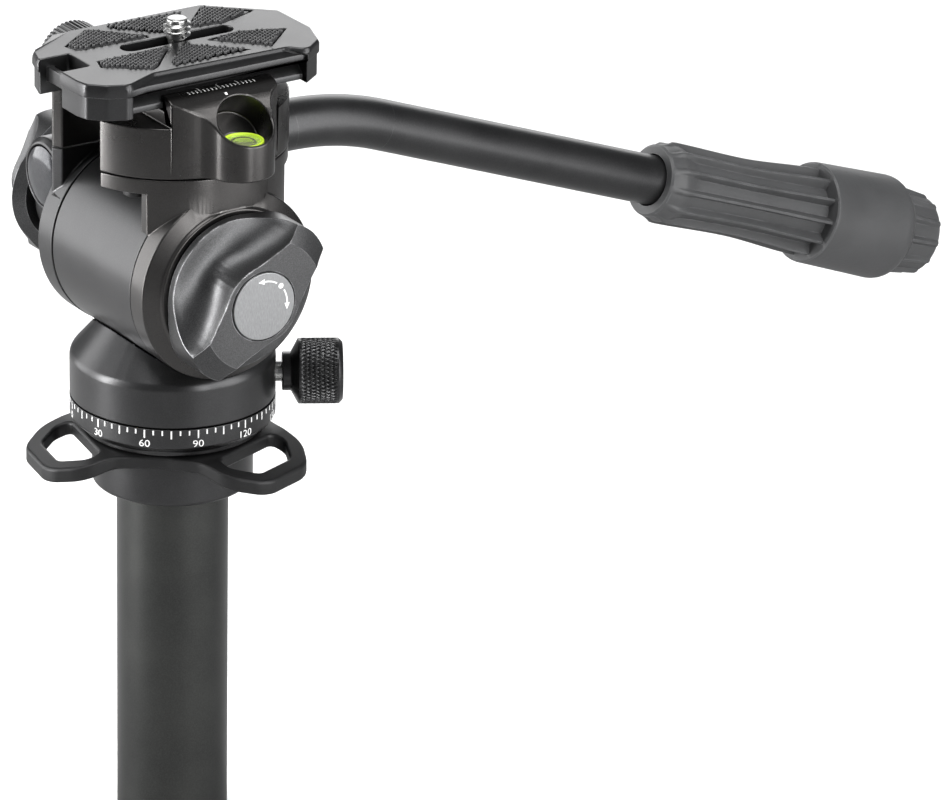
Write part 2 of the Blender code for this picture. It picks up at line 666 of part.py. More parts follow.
def make_saddle_screws(surfaces, pan, housing, barrel):
    """Two screws from under the housing's web hold the barrel on its saddle."""
    seat = TILT_HEIGHT - BARREL_RADIUS
    head_low = HOUSING_BORE_DEPTH
    for index, side in enumerate((-1, 1)):
        place = (0, side * SADDLE_SCREW_PLACE, 0)
        top = seat + SADDLE_SCREW_LENGTH / 2
        outline = (
            (0, head_low), (SADDLE_SCREW_HEAD_RADIUS, head_low),
            (SADDLE_SCREW_HEAD_RADIUS, head_low + SADDLE_SCREW_HEAD),
            (SADDLE_SCREW_RADIUS, head_low + SADDLE_SCREW_HEAD), (SADDLE_SCREW_RADIUS, top), (0, top),
        )
        finish(f"saddle_screw_{index + 1}", turned(outline, SMALL_SIDES), surfaces["steel"], pan, place)
        room = tuple((radius and radius + GAP, height) for radius, height in outline)
        low, high = head_low - POST_NUT_HEIGHT, top + GAP
        heights = {head_low: low, top: high, head_low + SADDLE_SCREW_HEAD: head_low + SADDLE_SCREW_HEAD + GAP}
        room = tuple((radius, heights.get(height, height)) for radius, height in room)
        hole = spun(turned(room, SMALL_SIDES), math.radians(4), "Z")
        hole = cutter(f"saddle_screw_cutter_{index + 1}", hole, pan, place)
        cut(housing, hole)
        cut(barrel, hole)


def make_pan_lock(surfaces, pan):
    lock = empty("pan_lock_axis", pan, (0, 0, PAN_LOCK_HEIGHT))
    lock.rotation_euler = (0, 0, PAN_LOCK_ANGLE)
    stem_inner = HOUSING_RADIUS - PAN_STEM_INSIDE
    neck = HOUSING_RADIUS + PAN_STEM_SHOWN
    body = neck + PAN_KNOB_NECK_LENGTH
    full = body + PAN_KNOB_CONE_LENGTH
    end = body + PAN_KNOB_LENGTH + PAN_KNOB_CONE_LENGTH
    stem_end = full + PAN_KNOB_CONE_LENGTH
    stem = along_x(rod(PAN_STEM_RADIUS, stem_inner, stem_end, SMALL_SIDES))
    finish("pan_lock_stem", stem, surfaces["steel"], lock)
    bore = PAN_STEM_RADIUS + GAP
    outline = (
        (bore, neck), (PAN_KNOB_NECK_RADIUS, neck), (PAN_KNOB_NECK_RADIUS, body), (PAN_KNOB_RADIUS, full),
        (PAN_KNOB_RADIUS, end - PAN_KNOB_CHAMFER), (PAN_KNOB_RADIUS - PAN_KNOB_CHAMFER, end), (0, end),
        (0, stem_end + GAP), (bore, stem_end + GAP),
    )
    finish("pan_lock_knob", along_x(turned(outline, MIDDLE_SIDES)), surfaces["black"], lock)
    shoe_end = stem_inner - GAP
    shoe = along_x(rod(PAN_SHOE_RADIUS, shoe_end - PAN_SHOE_LENGTH, shoe_end, SMALL_SIDES))
    finish("pan_brake_shoe", shoe, surfaces["bronze"], lock)


def make_barrel(surfaces, tilt):
    bore = BUSH_RADIUS + GAP
    inner = BARREL_RADIUS - BARREL_WALL
    flange = BUSH_FLANGE_RADIUS + GAP
    outline = (
        (bore, BARREL_LEFT + BUSH_FLANGE), (flange, BARREL_LEFT + BUSH_FLANGE), (flange, BARREL_LEFT),
        (BARREL_RADIUS, BARREL_LEFT), (BARREL_RADIUS, BARREL_RIGHT), (inner, BARREL_RIGHT),
        (inner, BARREL_LEFT + BARREL_END), (bore, BARREL_LEFT + BARREL_END),
    )
    barrel = finish("tilt_barrel", along_x(turned(outline, LARGE_SIDES)), surfaces["black"], tilt)
    lid_outer = inner - GAP
    lid_left = BARREL_RIGHT - BARREL_END
    lid = (
        (bore, lid_left), (lid_outer, lid_left), (lid_outer, BARREL_RIGHT), (flange, BARREL_RIGHT),
        (flange, BARREL_RIGHT - BUSH_FLANGE), (bore, BARREL_RIGHT - BUSH_FLANGE),
    )
    finish("barrel_lid", along_x(turned(lid, LARGE_SIDES)), surfaces["black"], tilt)
    axle_room = AXLE_RADIUS + RUNNING_GAP
    for name, end, way in (("left_bush", BARREL_LEFT, 1), ("right_bush", BARREL_RIGHT, -1)):
        seat = end + way * (BUSH_FLANGE - GAP)
        inner_end = end + way * BARREL_END
        outline = (
            (axle_room, end), (BUSH_FLANGE_RADIUS, end), (BUSH_FLANGE_RADIUS, seat),
            (BUSH_RADIUS, seat), (BUSH_RADIUS, inner_end), (axle_room, inner_end),
        )
        finish(name, along_x(turned(outline, SMALL_SIDES)), surfaces["bronze"], tilt)
    return barrel


def make_drag(surfaces, tilt):
    """Drag rotor on the axle, between two friction discs that the barrel holds."""
    rotor = tube(AXLE_RADIUS + GAP, DRAG_RADIUS, -DRAG_THICKNESS / 2, DRAG_THICKNESS / 2, MIDDLE_SIDES)
    finish("drag_rotor", along_x(rotor), surfaces["steel"], tilt)
    near = DRAG_THICKNESS / 2 + GAP
    disc_radius = BARREL_RADIUS - BARREL_WALL - GAP
    for name, low in (("drag_disc_left", -near - DRAG_PAD_THICKNESS), ("drag_disc_right", near)):
        disc = tube(DRAG_HUB_RADIUS, disc_radius, low, low + DRAG_PAD_THICKNESS, MIDDLE_SIDES)
        finish(name, along_x(disc), surfaces["bronze"], tilt)


def slab_outline():
    """The left leg seen from above, with its slanted nose and tail."""
    middle = (SLAB_INNER + LEFT_OUTER) / 2
    front = -SLAB_HALF_WIDTH
    nose = front - SLAB_NOSE
    return (
        (SLAB_INNER, front), (SLAB_INNER, SLAB_HALF_WIDTH), (middle, -nose), (LEFT_OUTER, SLAB_HALF_WIDTH),
        (LEFT_OUTER, front), (middle, nose),
    )


def make_left_cheek(surfaces, tilt):
    inner = BARREL_LEFT - GAP
    outer = LEFT_OUTER
    outline = (
        (0, inner), (RING_RADIUS, inner), (RING_RADIUS, outer + COLLAR_EDGE),
        (RING_RADIUS - COLLAR_EDGE, outer), (0, outer),
    )
    cheek = finish("left_cheek", along_x(turned(outline, LARGE_SIDES)), surfaces["black"], tilt)
    unite(cheek, cutter("left_slab_join", prism(slab_outline(), 0, SLAB_SEAM - GAP), tilt))
    hole = along_x(rod(AXLE_RADIUS + GAP, outer - OVERRUN, inner + OVERRUN, SMALL_SIDES))
    cut(cheek, cutter("left_cheek_bore_cutter", hole, tilt))


def segment(inner, radius):
    """The part of a disc about Z that lies beyond a plane at +X."""
    half = math.acos(inner / radius)
    return arc((0, 0), radius, -half, half, LARGE_SIDES // 3)


def make_right_cheek(surfaces, tilt):
    inner = BARREL_RIGHT + GAP
    start = inner - OVERRUN
    outline = (
        (0, start), (RING_RADIUS, start), (RING_RADIUS, RIGHT_RING_OUTER), (SHOULDER_RADIUS, SHOULDER_OUTER),
        (HUB_RADIUS, SHOULDER_OUTER), (HUB_RADIUS - COLLAR_EDGE, HUB_OUTER), (0, HUB_OUTER),
    )
    cheek = finish("right_cheek", along_x(turned(outline, LARGE_SIDES)), surfaces["black"], tilt)
    half = math.asin(SLAB_HALF_WIDTH / YOKE_RADIUS)
    lower = [(CHEEK_INNER, -SLAB_HALF_WIDTH)]
    lower += arc((0, 0), YOKE_RADIUS, -half, half, LARGE_SIDES // 4)
    lower += [(CHEEK_INNER, SLAB_HALF_WIDTH)]
    wall = cutter("cheek_wall_join", prism(lower, 0, LEDGE_BOTTOM + OVERRUN), tilt)
    ledge = prism(segment(LEDGE_INNER, YOKE_RADIUS), LEDGE_BOTTOM, LEDGE_TOP)
    unite(cheek, wall, cutter("cheek_ledge_join", ledge, tilt))
    swept = along_x(rod(BARREL_RADIUS + RUNNING_GAP, 0, inner, LARGE_SIDES))
    hole = along_x(rod(AXLE_RADIUS + GAP, start - OVERRUN, HUB_OUTER + OVERRUN, SMALL_SIDES))
    cut(cheek, cutter("barrel_room_cutter", swept, tilt), cutter("right_cheek_bore_cutter", hole, tilt))
    return cheek


def fillet_between(first, first_radius, second, second_radius, fillet, side):
    """Centre of the fillet circle that touches two circles from outside, on one side of their line."""
    start, end = Vector(first), Vector(second)
    line = end - start
    near, far = first_radius + fillet, second_radius + fillet
    share = (near**2 - far**2 + line.length_squared) / (2 * line.length)
    rise = math.sqrt(near**2 - share**2)
    across = Vector((-line.y, line.x)).normalized()
    return start + line.normalized() * share + across * rise * side


def pod_outline(inner, half_length, radius):
    """The round block seen from above, with the level's boss blended into it by two fillets."""
    boss = (POD_BOSS_X, POD_BOSS_Y)
    points = [(inner, -half_length)]
    ends = []
    for side in (-1, 1):
        centre = fillet_between((0, 0), radius, boss, POD_BOSS_RADIUS, POD_FILLET, side)
        block_angle = math.atan2(centre.y, centre.x)
        boss_angle = math.atan2(centre.y - boss[1], centre.x - boss[0])
        ends.append((centre, block_angle, boss_angle))
    low_angle = -math.asin(half_length / radius)
    (low_centre, low_block, low_boss), (high_centre, high_block, high_boss) = ends
    points += arc((0, 0), radius, low_angle, low_block, 4)[:-1]
    points += arc(low_centre, POD_FILLET, low_block + math.pi, low_boss + math.pi, 5)
    points += arc(boss, POD_BOSS_RADIUS, low_boss, high_boss, 16)[1:-1]
    points += arc(high_centre, POD_FILLET, high_boss - math.pi, high_block - math.pi, 5)
    points += arc((0, 0), radius, high_block, -low_angle, 4)[1:]
    points.append((inner, half_length))
    return points


def make_clamp_body(surfaces, tilt):
    block_low = LEDGE_TOP + GAP
    widest = math.sqrt(BLOCK_RADIUS**2 - LEDGE_INNER**2)
    block = pod_outline(LEDGE_INNER, widest, BLOCK_RADIUS)
    body = finish("clamp_body", prism(block, block_low, BLOCK_TOP), surfaces["black"], tilt)
    bridge_high = (LEDGE_INNER + OVERRUN, BRIDGE_HALF_LENGTH, BLOCK_TOP)
    bridge = box((LEFT_OUTER, -BRIDGE_HALF_LENGTH, BRIDGE_BOTTOM), bridge_high)
    leg = prism(slab_outline(), SLAB_SEAM, BLOCK_TOP)
    unite(body, cutter("bridge_join", bridge, tilt), cutter("left_leg_join", leg, tilt))
    raised_outline = pod_outline(JAW_FOOT_INNER + GAP, CLAMP_HALF_LENGTH, BLOCK_RADIUS)
    raised = cutter("raised_join", prism(raised_outline, block_low + OVERRUN, POD_TOP), tilt)
    low = (JAW_FOOT_INNER, -2 * CLAMP_HALF_LENGTH, block_low)
    hollow = box((low[0] - OVERRUN, low[1], low[2]), (LEDGE_INNER + OVERRUN, -low[1], BLOCK_TOP - OVERRUN))
    cut(raised, cutter("raised_hollow_cutter", hollow, tilt))
    unite(body, raised)
    slope = [(POD_SLOPE_START, POD_TOP)]
    for step in range(1, POD_SLOPE_POINTS + 1):
        share = step / POD_SLOPE_POINTS
        drop = POD_SLOPE_DROP * share**POD_SLOPE_POWER
        slope.append((POD_SLOPE_START + POD_SLOPE_LENGTH * share, POD_TOP - drop))
    far = POD_SLOPE_START + POD_SLOPE_LENGTH + OVERRUN
    slope += [(far, POD_TOP - POD_SLOPE_DROP), (far, POD_TOP + OVERRUN), (POD_SLOPE_START, POD_TOP + OVERRUN)]
    cut(body, cutter("pod_slope_cutter", front_profile(slope, -BLOCK_RADIUS, BLOCK_RADIUS), tilt))
    groove = rail_outline(GAP, POD_TOP + OVERRUN)
    cut(body, cutter("rail_groove_cutter", front_profile(groove, -BLOCK_RADIUS, BLOCK_RADIUS), tilt))
    level_hole = rod(LEVEL_RADIUS + GAP, LEVEL_FLOOR, POD_TOP + OVERRUN, MIDDLE_SIDES)
    cut(body, cutter("level_hole_cutter", level_hole, tilt, (POD_BOSS_X, POD_BOSS_Y, 0)))
    screw_end = CLAMP_SCREW_INNER + OVERRUN
    screw_room = along_x(rod(CLAMP_SCREW_RADIUS + GAP, LEFT_OUTER - OVERRUN, screw_end, SMALL_SIDES))
    cut(body, cutter("clamp_screw_room_cutter", screw_room, tilt, (0, CLAMP_SCREW_Y, CLAMP_SCREW_HEIGHT)))
    return body


def rail_outline(clearance, top):
    """The dovetail rail's own section when clearance is zero, or the room for it."""
    foot = RAIL_BOTTOM - 2 * clearance
    lip = RAIL_BOTTOM + RAIL_LIP + clearance / 2
    wide = RAIL_HALF_WIDTH + clearance
    neck = RAIL_NECK_HALF_WIDTH + clearance
    neck_height = lip + RAIL_HALF_WIDTH - RAIL_NECK_HALF_WIDTH
    half = [(wide, foot), (wide, lip), (neck, neck_height), (neck, top)]
    return [*half, *mirrored(half)]


def make_level(surfaces, tilt):
    place = (POD_BOSS_X, POD_BOSS_Y, 0)
    low = LEVEL_FLOOR + GAP
    top = low + LEVEL_HEIGHT
    inner = LEVEL_RADIUS - LEVEL_WALL
    outline = (
        (0, low), (LEVEL_RADIUS, low), (LEVEL_RADIUS, top), (inner, top),
        (inner, top - LEVEL_LENS_HEIGHT - GAP), (0, top - LEVEL_LENS_HEIGHT - GAP),
    )
    finish("level_vial", turned(outline, MIDDLE_SIDES), surfaces["fluid"], tilt, place)
    lens = rod(inner - GAP, top - LEVEL_LENS_HEIGHT, top, MIDDLE_SIDES)
    finish("level_lens", lens, surfaces["clear"], tilt, place)


def make_ledge_screws(surfaces, tilt, cheek, body):
    low = LEDGE_BOTTOM - LEDGE_SCREW_HEAD
    for index, side in enumerate((-1, 1)):
        place = (LEDGE_SCREW_X, side * LEDGE_SCREW_Y, 0)
        head_top = LEDGE_BOTTOM - GAP
        top = LEDGE_TOP + LEDGE_SCREW_DEPTH
        outline = (
            (0, low), (LEDGE_SCREW_HEAD_RADIUS, low), (LEDGE_SCREW_HEAD_RADIUS, head_top),
            (LEDGE_SCREW_RADIUS, head_top), (LEDGE_SCREW_RADIUS, top), (0, top),
        )
        finish(f"ledge_screw_{index + 1}", turned(outline, SMALL_SIDES), surfaces["steel"], tilt, place)
        room = rod(LEDGE_SCREW_RADIUS + GAP, low, top + GAP, SMALL_SIDES)
        hole = cutter(f"ledge_screw_cutter_{index + 1}", room, tilt, place)
        cut(cheek, hole)
        cut(body, hole)


def make_jaw(surfaces, tilt):
    """The moving jaw: its foot slides on the bridge, its lip holds the rail and its skirt takes the screw."""
    outer = CLAMP_KNOB_INNER + GAP
    skirt = LEFT_OUTER - GAP
    lip = [(x, z) for x, z in rail_outline(GAP, POD_TOP) if x < 0]
    outline = [
        (outer, JAW_SKIRT_BOTTOM), (outer, POD_TOP), *lip, (JAW_FOOT_INNER, RAIL_BOTTOM - 2 * GAP),
        (JAW_FOOT_INNER, BLOCK_TOP + GAP), (skirt, BLOCK_TOP + GAP), (skirt, JAW_SKIRT_BOTTOM),
    ]
    jaw = front_profile(outline, -JAW_HALF_LENGTH, JAW_HALF_LENGTH)
    jaw = finish("clamp_jaw", jaw, surfaces["black"], tilt)
    hole = along_x(rod(CLAMP_SCREW_RADIUS + GAP, outer - OVERRUN, skirt + OVERRUN, SMALL_SIDES))
    cut(jaw, cutter("jaw_hole_cutter", hole, tilt, (0, CLAMP_SCREW_Y, CLAMP_SCREW_HEIGHT)))


def make_clamp_knob(surfaces, tilt):
    axis = empty("clamp_knob_axis", tilt, (0, CLAMP_SCREW_Y, CLAMP_SCREW_HEIGHT))
    inner = CLAMP_KNOB_INNER
    outer = inner - CLAMP_KNOB_LENGTH
    neck_end = inner - CLAMP_KNOB_NECK
    bore = CLAMP_SCREW_RADIUS + GAP
    screw_end = (inner + outer) / 2
    screw = along_x(rod(CLAMP_SCREW_RADIUS, screw_end, CLAMP_SCREW_INNER, SMALL_SIDES))
    finish("clamp_screw", screw, surfaces["steel"], axis)
    round_near = arc(
        (CLAMP_KNOB_RADIUS - CLAMP_KNOB_ROUNDING, neck_end - CLAMP_KNOB_ROUNDING), CLAMP_KNOB_ROUNDING,
        math.radians(90), 0, 4,
    )
    edge = CLAMP_KNOB_ROUNDING / 3
    outline = [
        (bore, inner), (CLAMP_KNOB_NECK_RADIUS, inner), (CLAMP_KNOB_NECK_RADIUS, neck_end), *round_near,
        (CLAMP_KNOB_RADIUS, outer + edge), (CLAMP_KNOB_RADIUS - edge, outer), (0, outer),
        (0, screw_end - GAP), (bore, screw_end - GAP),
    ]
    finish("clamp_knob", along_x(turned(outline, MIDDLE_SIDES)), surfaces["black"], axis)


def plate_outline(half_width, trim):
    """Plan of the camera plate: a straight middle and a wider lobe near each corner."""
    lobe = PLATE_LOBE_HALF_WIDTH - (PLATE_HALF_WIDTH - half_width)
    quarter = [
        (half_width, PLATE_WAIST_END), (lobe, PLATE_LOBE_START), (lobe, PLATE_LOBE_END - trim / 2),
        (PLATE_CORNER_X - trim / 3, PLATE_CORNER_Y - trim), (PLATE_NOSE_HALF_WIDTH, PLATE_HALF_LENGTH - trim),
    ]
    front = [(x, -y) for x, y in reversed(quarter)]
    right = front + quarter
    return right + mirrored(right)


def make_plate(surfaces, tilt):
    slide = empty("plate_slide", tilt, (0, 0, 0))
    levels = (
        (PLATE_TOP, PLATE_TOP_HALF_WIDTH, PLATE_CHAMFER),
        (PLATE_TOP - PLATE_CHAMFER, PLATE_TOP_HALF_WIDTH + PLATE_CHAMFER, 0),
        (PLATE_FLANGE_BOTTOM, PLATE_HALF_WIDTH, 0),
    )
    rings = [[(x, y, height) for x, y in plate_outline(half, trim)] for height, half, trim in levels]
    plate = finish("camera_plate", loft(rings), surfaces["black"], slide)
    inside = PLATE_FLANGE_BOTTOM + PLATE_CHAMFER
    rail = front_profile(rail_outline(0, inside), -RAIL_END, RAIL_END)
    unite(plate, cutter("rail_join", rail, slide))
    for index, side in enumerate((-1, 1)):
        lug_outline = plate_outline(PLATE_HALF_WIDTH - PLATE_LUG_INSET, PLATE_LUG_INSET)
        lug = cutter(f"plate_lug_join_{index + 1}", prism(lug_outline, PLATE_LUG_BOTTOM, inside), slide)
        reach = side * PLATE_LOBE_HALF_WIDTH * 2
        lug_start = side * PLATE_LUG_START
        keep_low = (-PLATE_LOBE_HALF_WIDTH * 2, min(lug_start, reach), PLATE_LUG_BOTTOM - OVERRUN)
        keep_high = (PLATE_LOBE_HALF_WIDTH * 2, max(lug_start, reach), PLATE_TOP)
        keep = cutter(f"plate_lug_keep_{index + 1}", box(keep_low, keep_high), slide)
        boolean(lug, keep, "INTERSECT")
        unite(plate, lug)
    cut_plate_openings(plate, slide)
    make_pads(surfaces, slide, plate)
    return slide


def cut_plate_openings(plate, slide):
    slot = rounded(
        ((SLOT_HALF_WIDTH, -SLOT_FRONT), (SLOT_HALF_WIDTH, SLOT_BACK),
         (-SLOT_HALF_WIDTH, SLOT_BACK), (-SLOT_HALF_WIDTH, -SLOT_FRONT)),
        SLOT_HALF_WIDTH * SLOT_ROUND_SHARE, 6,
    )
    cut(plate, cutter("slot_cutter", prism(slot, RAIL_BOTTOM - OVERRUN, PLATE_TOP + OVERRUN), slide))
    wider = SLOT_RECESS_HALF_WIDTH - SLOT_HALF_WIDTH
    recess = rounded(
        ((SLOT_RECESS_HALF_WIDTH, -SLOT_FRONT - wider), (SLOT_RECESS_HALF_WIDTH, SLOT_BACK + wider),
         (-SLOT_RECESS_HALF_WIDTH, SLOT_BACK + wider), (-SLOT_RECESS_HALF_WIDTH, -SLOT_FRONT - wider)),
        SLOT_RECESS_HALF_WIDTH * SLOT_ROUND_SHARE, 6,
    )
    roof = RAIL_BOTTOM + SLOT_RECESS_DEPTH
    cut(plate, cutter("slot_recess_cutter", prism(recess, RAIL_BOTTOM - OVERRUN, roof), slide))
    bar_front = -PLATE_HALF_LENGTH + PLATE_LUG_INSET
    bar_back = bar_front + STRAP_BAR
    back = bar_back + STRAP_DEPTH
    strap = rounded(
        ((-STRAP_HALF_WIDTH, bar_back), (STRAP_HALF_WIDTH, bar_back), (STRAP_HALF_WIDTH, back),
         (-STRAP_HALF_WIDTH, back)),
        PLATE_CHAMFER, 2,
    )
    strap = prism(strap, PLATE_LUG_BOTTOM - OVERRUN, PLATE_TOP + OVERRUN)
    cut(plate, cutter("strap_window_cutter", strap, slide))
    front = -PLATE_HALF_LENGTH - OVERRUN
    middle = (bar_back + back) / 2
    for name, low, high, inner in (
        ("strap_top_cutter", STRAP_BAR_TOP, PLATE_TOP + OVERRUN, middle),
        ("strap_under_cutter", PLATE_LUG_BOTTOM - OVERRUN, STRAP_BAR_BOTTOM, middle),
        ("strap_front_cutter", PLATE_LUG_BOTTOM - OVERRUN, PLATE_TOP + OVERRUN, bar_front),
    ):
        room = box((-STRAP_HALF_WIDTH, front, low), (STRAP_HALF_WIDTH, inner, high))
        cut(plate, cutter(name, room, slide))


def make_pads(surfaces, slide, plate):
    low = PLATE_TOP - PAD_DEPTH
    for row, shares in enumerate((PAD_FRONT_SHARES, PAD_MIDDLE_SHARES, PAD_REAR_SHARES)):
        near = [(x * PLATE_TOP_HALF_WIDTH, y * PLATE_HALF_LENGTH) for x, y in shares]
        for side, outline in (("right", near), ("left", mirrored(near))):
            name = f"plate_pad_{('front', 'middle', 'rear')[row]}_{side}"
            pocket = prism(rounded(outline, PAD_CORNER, 2), low, PLATE_TOP + OVERRUN)
            cut(plate, cutter(name + "_cutter", pocket, slide))
            pad = prism(rounded(inset(outline, GAP), PAD_CORNER, 2), low + GAP, PLATE_TOP + PAD_RISE)
            finish(name, pad, surfaces["rubber"], slide)


def make_camera_screw(surfaces, slide):
    carriage = empty("camera_screw_slide", slide, (0, SCREW_PLACE, 0))
    roof = RAIL_BOTTOM + SLOT_RECESS_DEPTH
    washer_low = roof - GAP - SCREW_WASHER
    washer = tube(SCREW_NECK_RADIUS + GAP, SCREW_HEAD_RADIUS, washer_low, roof - GAP, SMALL_SIDES)
    finish("camera_screw_washer", washer, surfaces["bronze"], carriage)
    head_top = washer_low - GAP
    head_low = head_top - SCREW_HEAD
    top = PLATE_TOP + SCREW_RISE
    chamfer = SCREW_CHAMFER
    outline = (
        (0, head_low), (SCREW_HEAD_RADIUS, head_low), (SCREW_HEAD_RADIUS, head_top),
        (SCREW_NECK_RADIUS, head_top), (SCREW_NECK_RADIUS, PLATE_TOP + GAP), (SCREW_RADIUS, PLATE_TOP + GAP),
        (SCREW_RADIUS, top - chamfer), (SCREW_RADIUS - chamfer, top), (0, top),
    )
    screw = finish("camera_screw", turned(outline, SMALL_SIDES), surfaces["steel"], carriage)
    half = SCREW_COIN_WIDTH / 2
    reach = SCREW_HEAD_RADIUS + OVERRUN
    coin = box((-half, -reach, head_low - OVERRUN), (half, reach, head_low + SCREW_COIN_DEPTH))
    cut(screw, cutter("coin_slot_cutter", coin, carriage))


def wing_knob(name, surfaces, axis, base_radius, wing_reach, face_radius, face_reach, angle, screw_radius):
    """A round knob with a raised wing across it and a scoop on each side, along Z from zero up."""
    def ring(height, size_share, face_share):
        points = []
        for step in range(LARGE_SIDES):
            turn = math.tau * step / LARGE_SIDES
            along = abs(math.cos(turn - angle))
            low = base_radius + (wing_reach - base_radius) * along**KNOB_TIP_POWER
            high = face_radius + (face_reach - face_radius) * along**KNOB_FACE_POWER
            size = (low + (high - low) * face_share) * size_share
            points.append((size * math.cos(turn), size * math.sin(turn), height))
        return points

    undercut = 1 - KNOB_UNDERCUT / base_radius
    rings = [ring(0, undercut, 0), ring(KNOB_UNDERCUT, 1, 0), ring(KNOB_RIM, 1, 0)]
    for step in range(1, KNOB_LEVELS + 1):
        turn = math.radians(90) * step / KNOB_LEVELS
        rings.append(ring(KNOB_RIM + (KNOB_HEIGHT - KNOB_RIM) * (1 - math.cos(turn)), 1, math.sin(turn)))
    knob = finish(name, along_x(loft(rings)), surfaces["black"], axis)
    seat = KNOB_HEIGHT - KNOB_DISC_RECESS
    recess = along_x(rod(KNOB_DISC_RADIUS + GAP, seat, KNOB_HEIGHT + OVERRUN, MIDDLE_SIDES))
    cut(knob, cutter(name + "_recess_cutter", recess, axis))
    bore = along_x(rod(screw_radius + GAP, -OVERRUN, KNOB_HEIGHT - KNOB_BORE_SETBACK, SMALL_SIDES))
    cut(knob, cutter(name + "_bore_cutter", bore, axis))


def make_tilt_lock(surfaces, tilt):
    """The axle runs through both cheeks and the barrel; the knob at its right end clamps them."""
    left = LEFT_OUTER + AXLE_SETBACK
    right = KNOB_BASE_X + KNOB_HEIGHT / 2
    hole = HANDLE_SCREW_RADIUS + GAP
    hole_end = HANDLE_SCREW_INNER + GAP
    outline = (
        (hole, left), (AXLE_RADIUS, left), (AXLE_RADIUS, right), (0, right), (0, hole_end), (hole, hole_end),
    )
    finish("tilt_axle", along_x(turned(outline, SMALL_SIDES)), surfaces["steel"], tilt)
    axis = empty("tilt_lock_axis", tilt, (KNOB_BASE_X, 0, 0))
    wing_knob(
        "tilt_lock_knob", surfaces, axis, KNOB_RADIUS, KNOB_WING_REACH, KNOB_FACE_RADIUS, KNOB_FACE_REACH,
        KNOB_WING_ANGLE + math.radians(90), AXLE_RADIUS,
    )
    low = KNOB_HEIGHT - KNOB_DISC_RECESS + GAP
    disc = along_x(rod(KNOB_DISC_RADIUS, low, low + KNOB_DISC_THICKNESS, MIDDLE_SIDES))
    finish("tilt_knob_disc", disc, surfaces["silver"], axis)


def make_handle_block(surfaces, handle):
    """Socket of the handle, with the rosette that sits against the left cheek."""
    inner = LEFT_OUTER - GAP
    hub_outer = BLOCK_OUTER
    bore = HANDLE_SCREW_RADIUS + GAP
    outline = (
        (0, inner), (ROSETTE_RADIUS, inner), (ROSETTE_RADIUS, inner - ROSETTE_THICKNESS),
        (BLOCK_HUB_RADIUS, inner - ROSETTE_THICKNESS), (BLOCK_HUB_RADIUS, hub_outer), (0, hub_outer),
    )
    block = finish("handle_block", along_x(turned(outline, MIDDLE_SIDES)), surfaces["black"], handle)
    place = (HANDLE_X, 0, HANDLE_RISE)
    cap_room = SOCKET_CAP_RADIUS + GAP
    cap_seat = SOCKET_FRONT + SOCKET_CAP_THICKNESS
    socket = (
        (0, cap_seat), (cap_room, cap_seat), (cap_room, SOCKET_FRONT),
        (SOCKET_RADIUS - SOCKET_CHAMFER, SOCKET_FRONT), (SOCKET_RADIUS, SOCKET_FRONT + SOCKET_CHAMFER),
        (SOCKET_RADIUS, SOCKET_BACK - SOCKET_CHAMFER), (SOCKET_RADIUS - SOCKET_CHAMFER, SOCKET_BACK),
        (0, SOCKET_BACK),
    )
    unite(block, cutter("socket_join", along_y(turned(socket, MIDDLE_SIDES)), handle, place))
    screw_room = along_x(rod(bore, hub_outer - OVERRUN, inner + OVERRUN, SMALL_SIDES))
    cut(block, cutter("handle_screw_room_cutter", screw_room, handle))
    tube_start = SOCKET_FRONT + 2 * SOCKET_CAP_THICKNESS
    tube_room = along_y(rod(TUBE_RADIUS + GAP, tube_start, SOCKET_BACK + OVERRUN, MIDDLE_SIDES))
    cut(block, cutter("tube_room_cutter", tube_room, handle, place))
    front = SOCKET_FRONT - SOCKET_CAP_DOME
    shoulder = (SOCKET_CAP_RADIUS * SOCKET_CAP_EDGE_SHARE, front + SOCKET_CAP_DOME * SOCKET_CAP_RISE_SHARE)
    cap = (
        (0, front), shoulder, (SOCKET_CAP_RADIUS, SOCKET_FRONT), (SOCKET_CAP_RADIUS, cap_seat - GAP),
        (0, cap_seat - GAP),
    )
    finish("handle_socket_cap", along_y(turned(cap, MIDDLE_SIDES)), surfaces["gloss"], handle, place)
    return tube_start


def handle_path(start):
    """Centre line of the tube in the plane X = 0: level, then a bend down, then straight."""
    points = [(start, 0.0, 0.0), (TUBE_BEND_START, 0.0, 0.0)]
    for step in range(1, TUBE_BEND_STEPS + 1):
        turn = TUBE_BEND_ANGLE * step / TUBE_BEND_STEPS
        drop = TUBE_BEND_RADIUS * (1 - math.cos(turn))
        points.append((TUBE_BEND_START + TUBE_BEND_RADIUS * math.sin(turn), -drop, turn))
    y, z, turn = points[-1]
    points.append((y + TUBE_STRAIGHT * math.cos(turn), z - TUBE_STRAIGHT * math.sin(turn), turn))
    return points


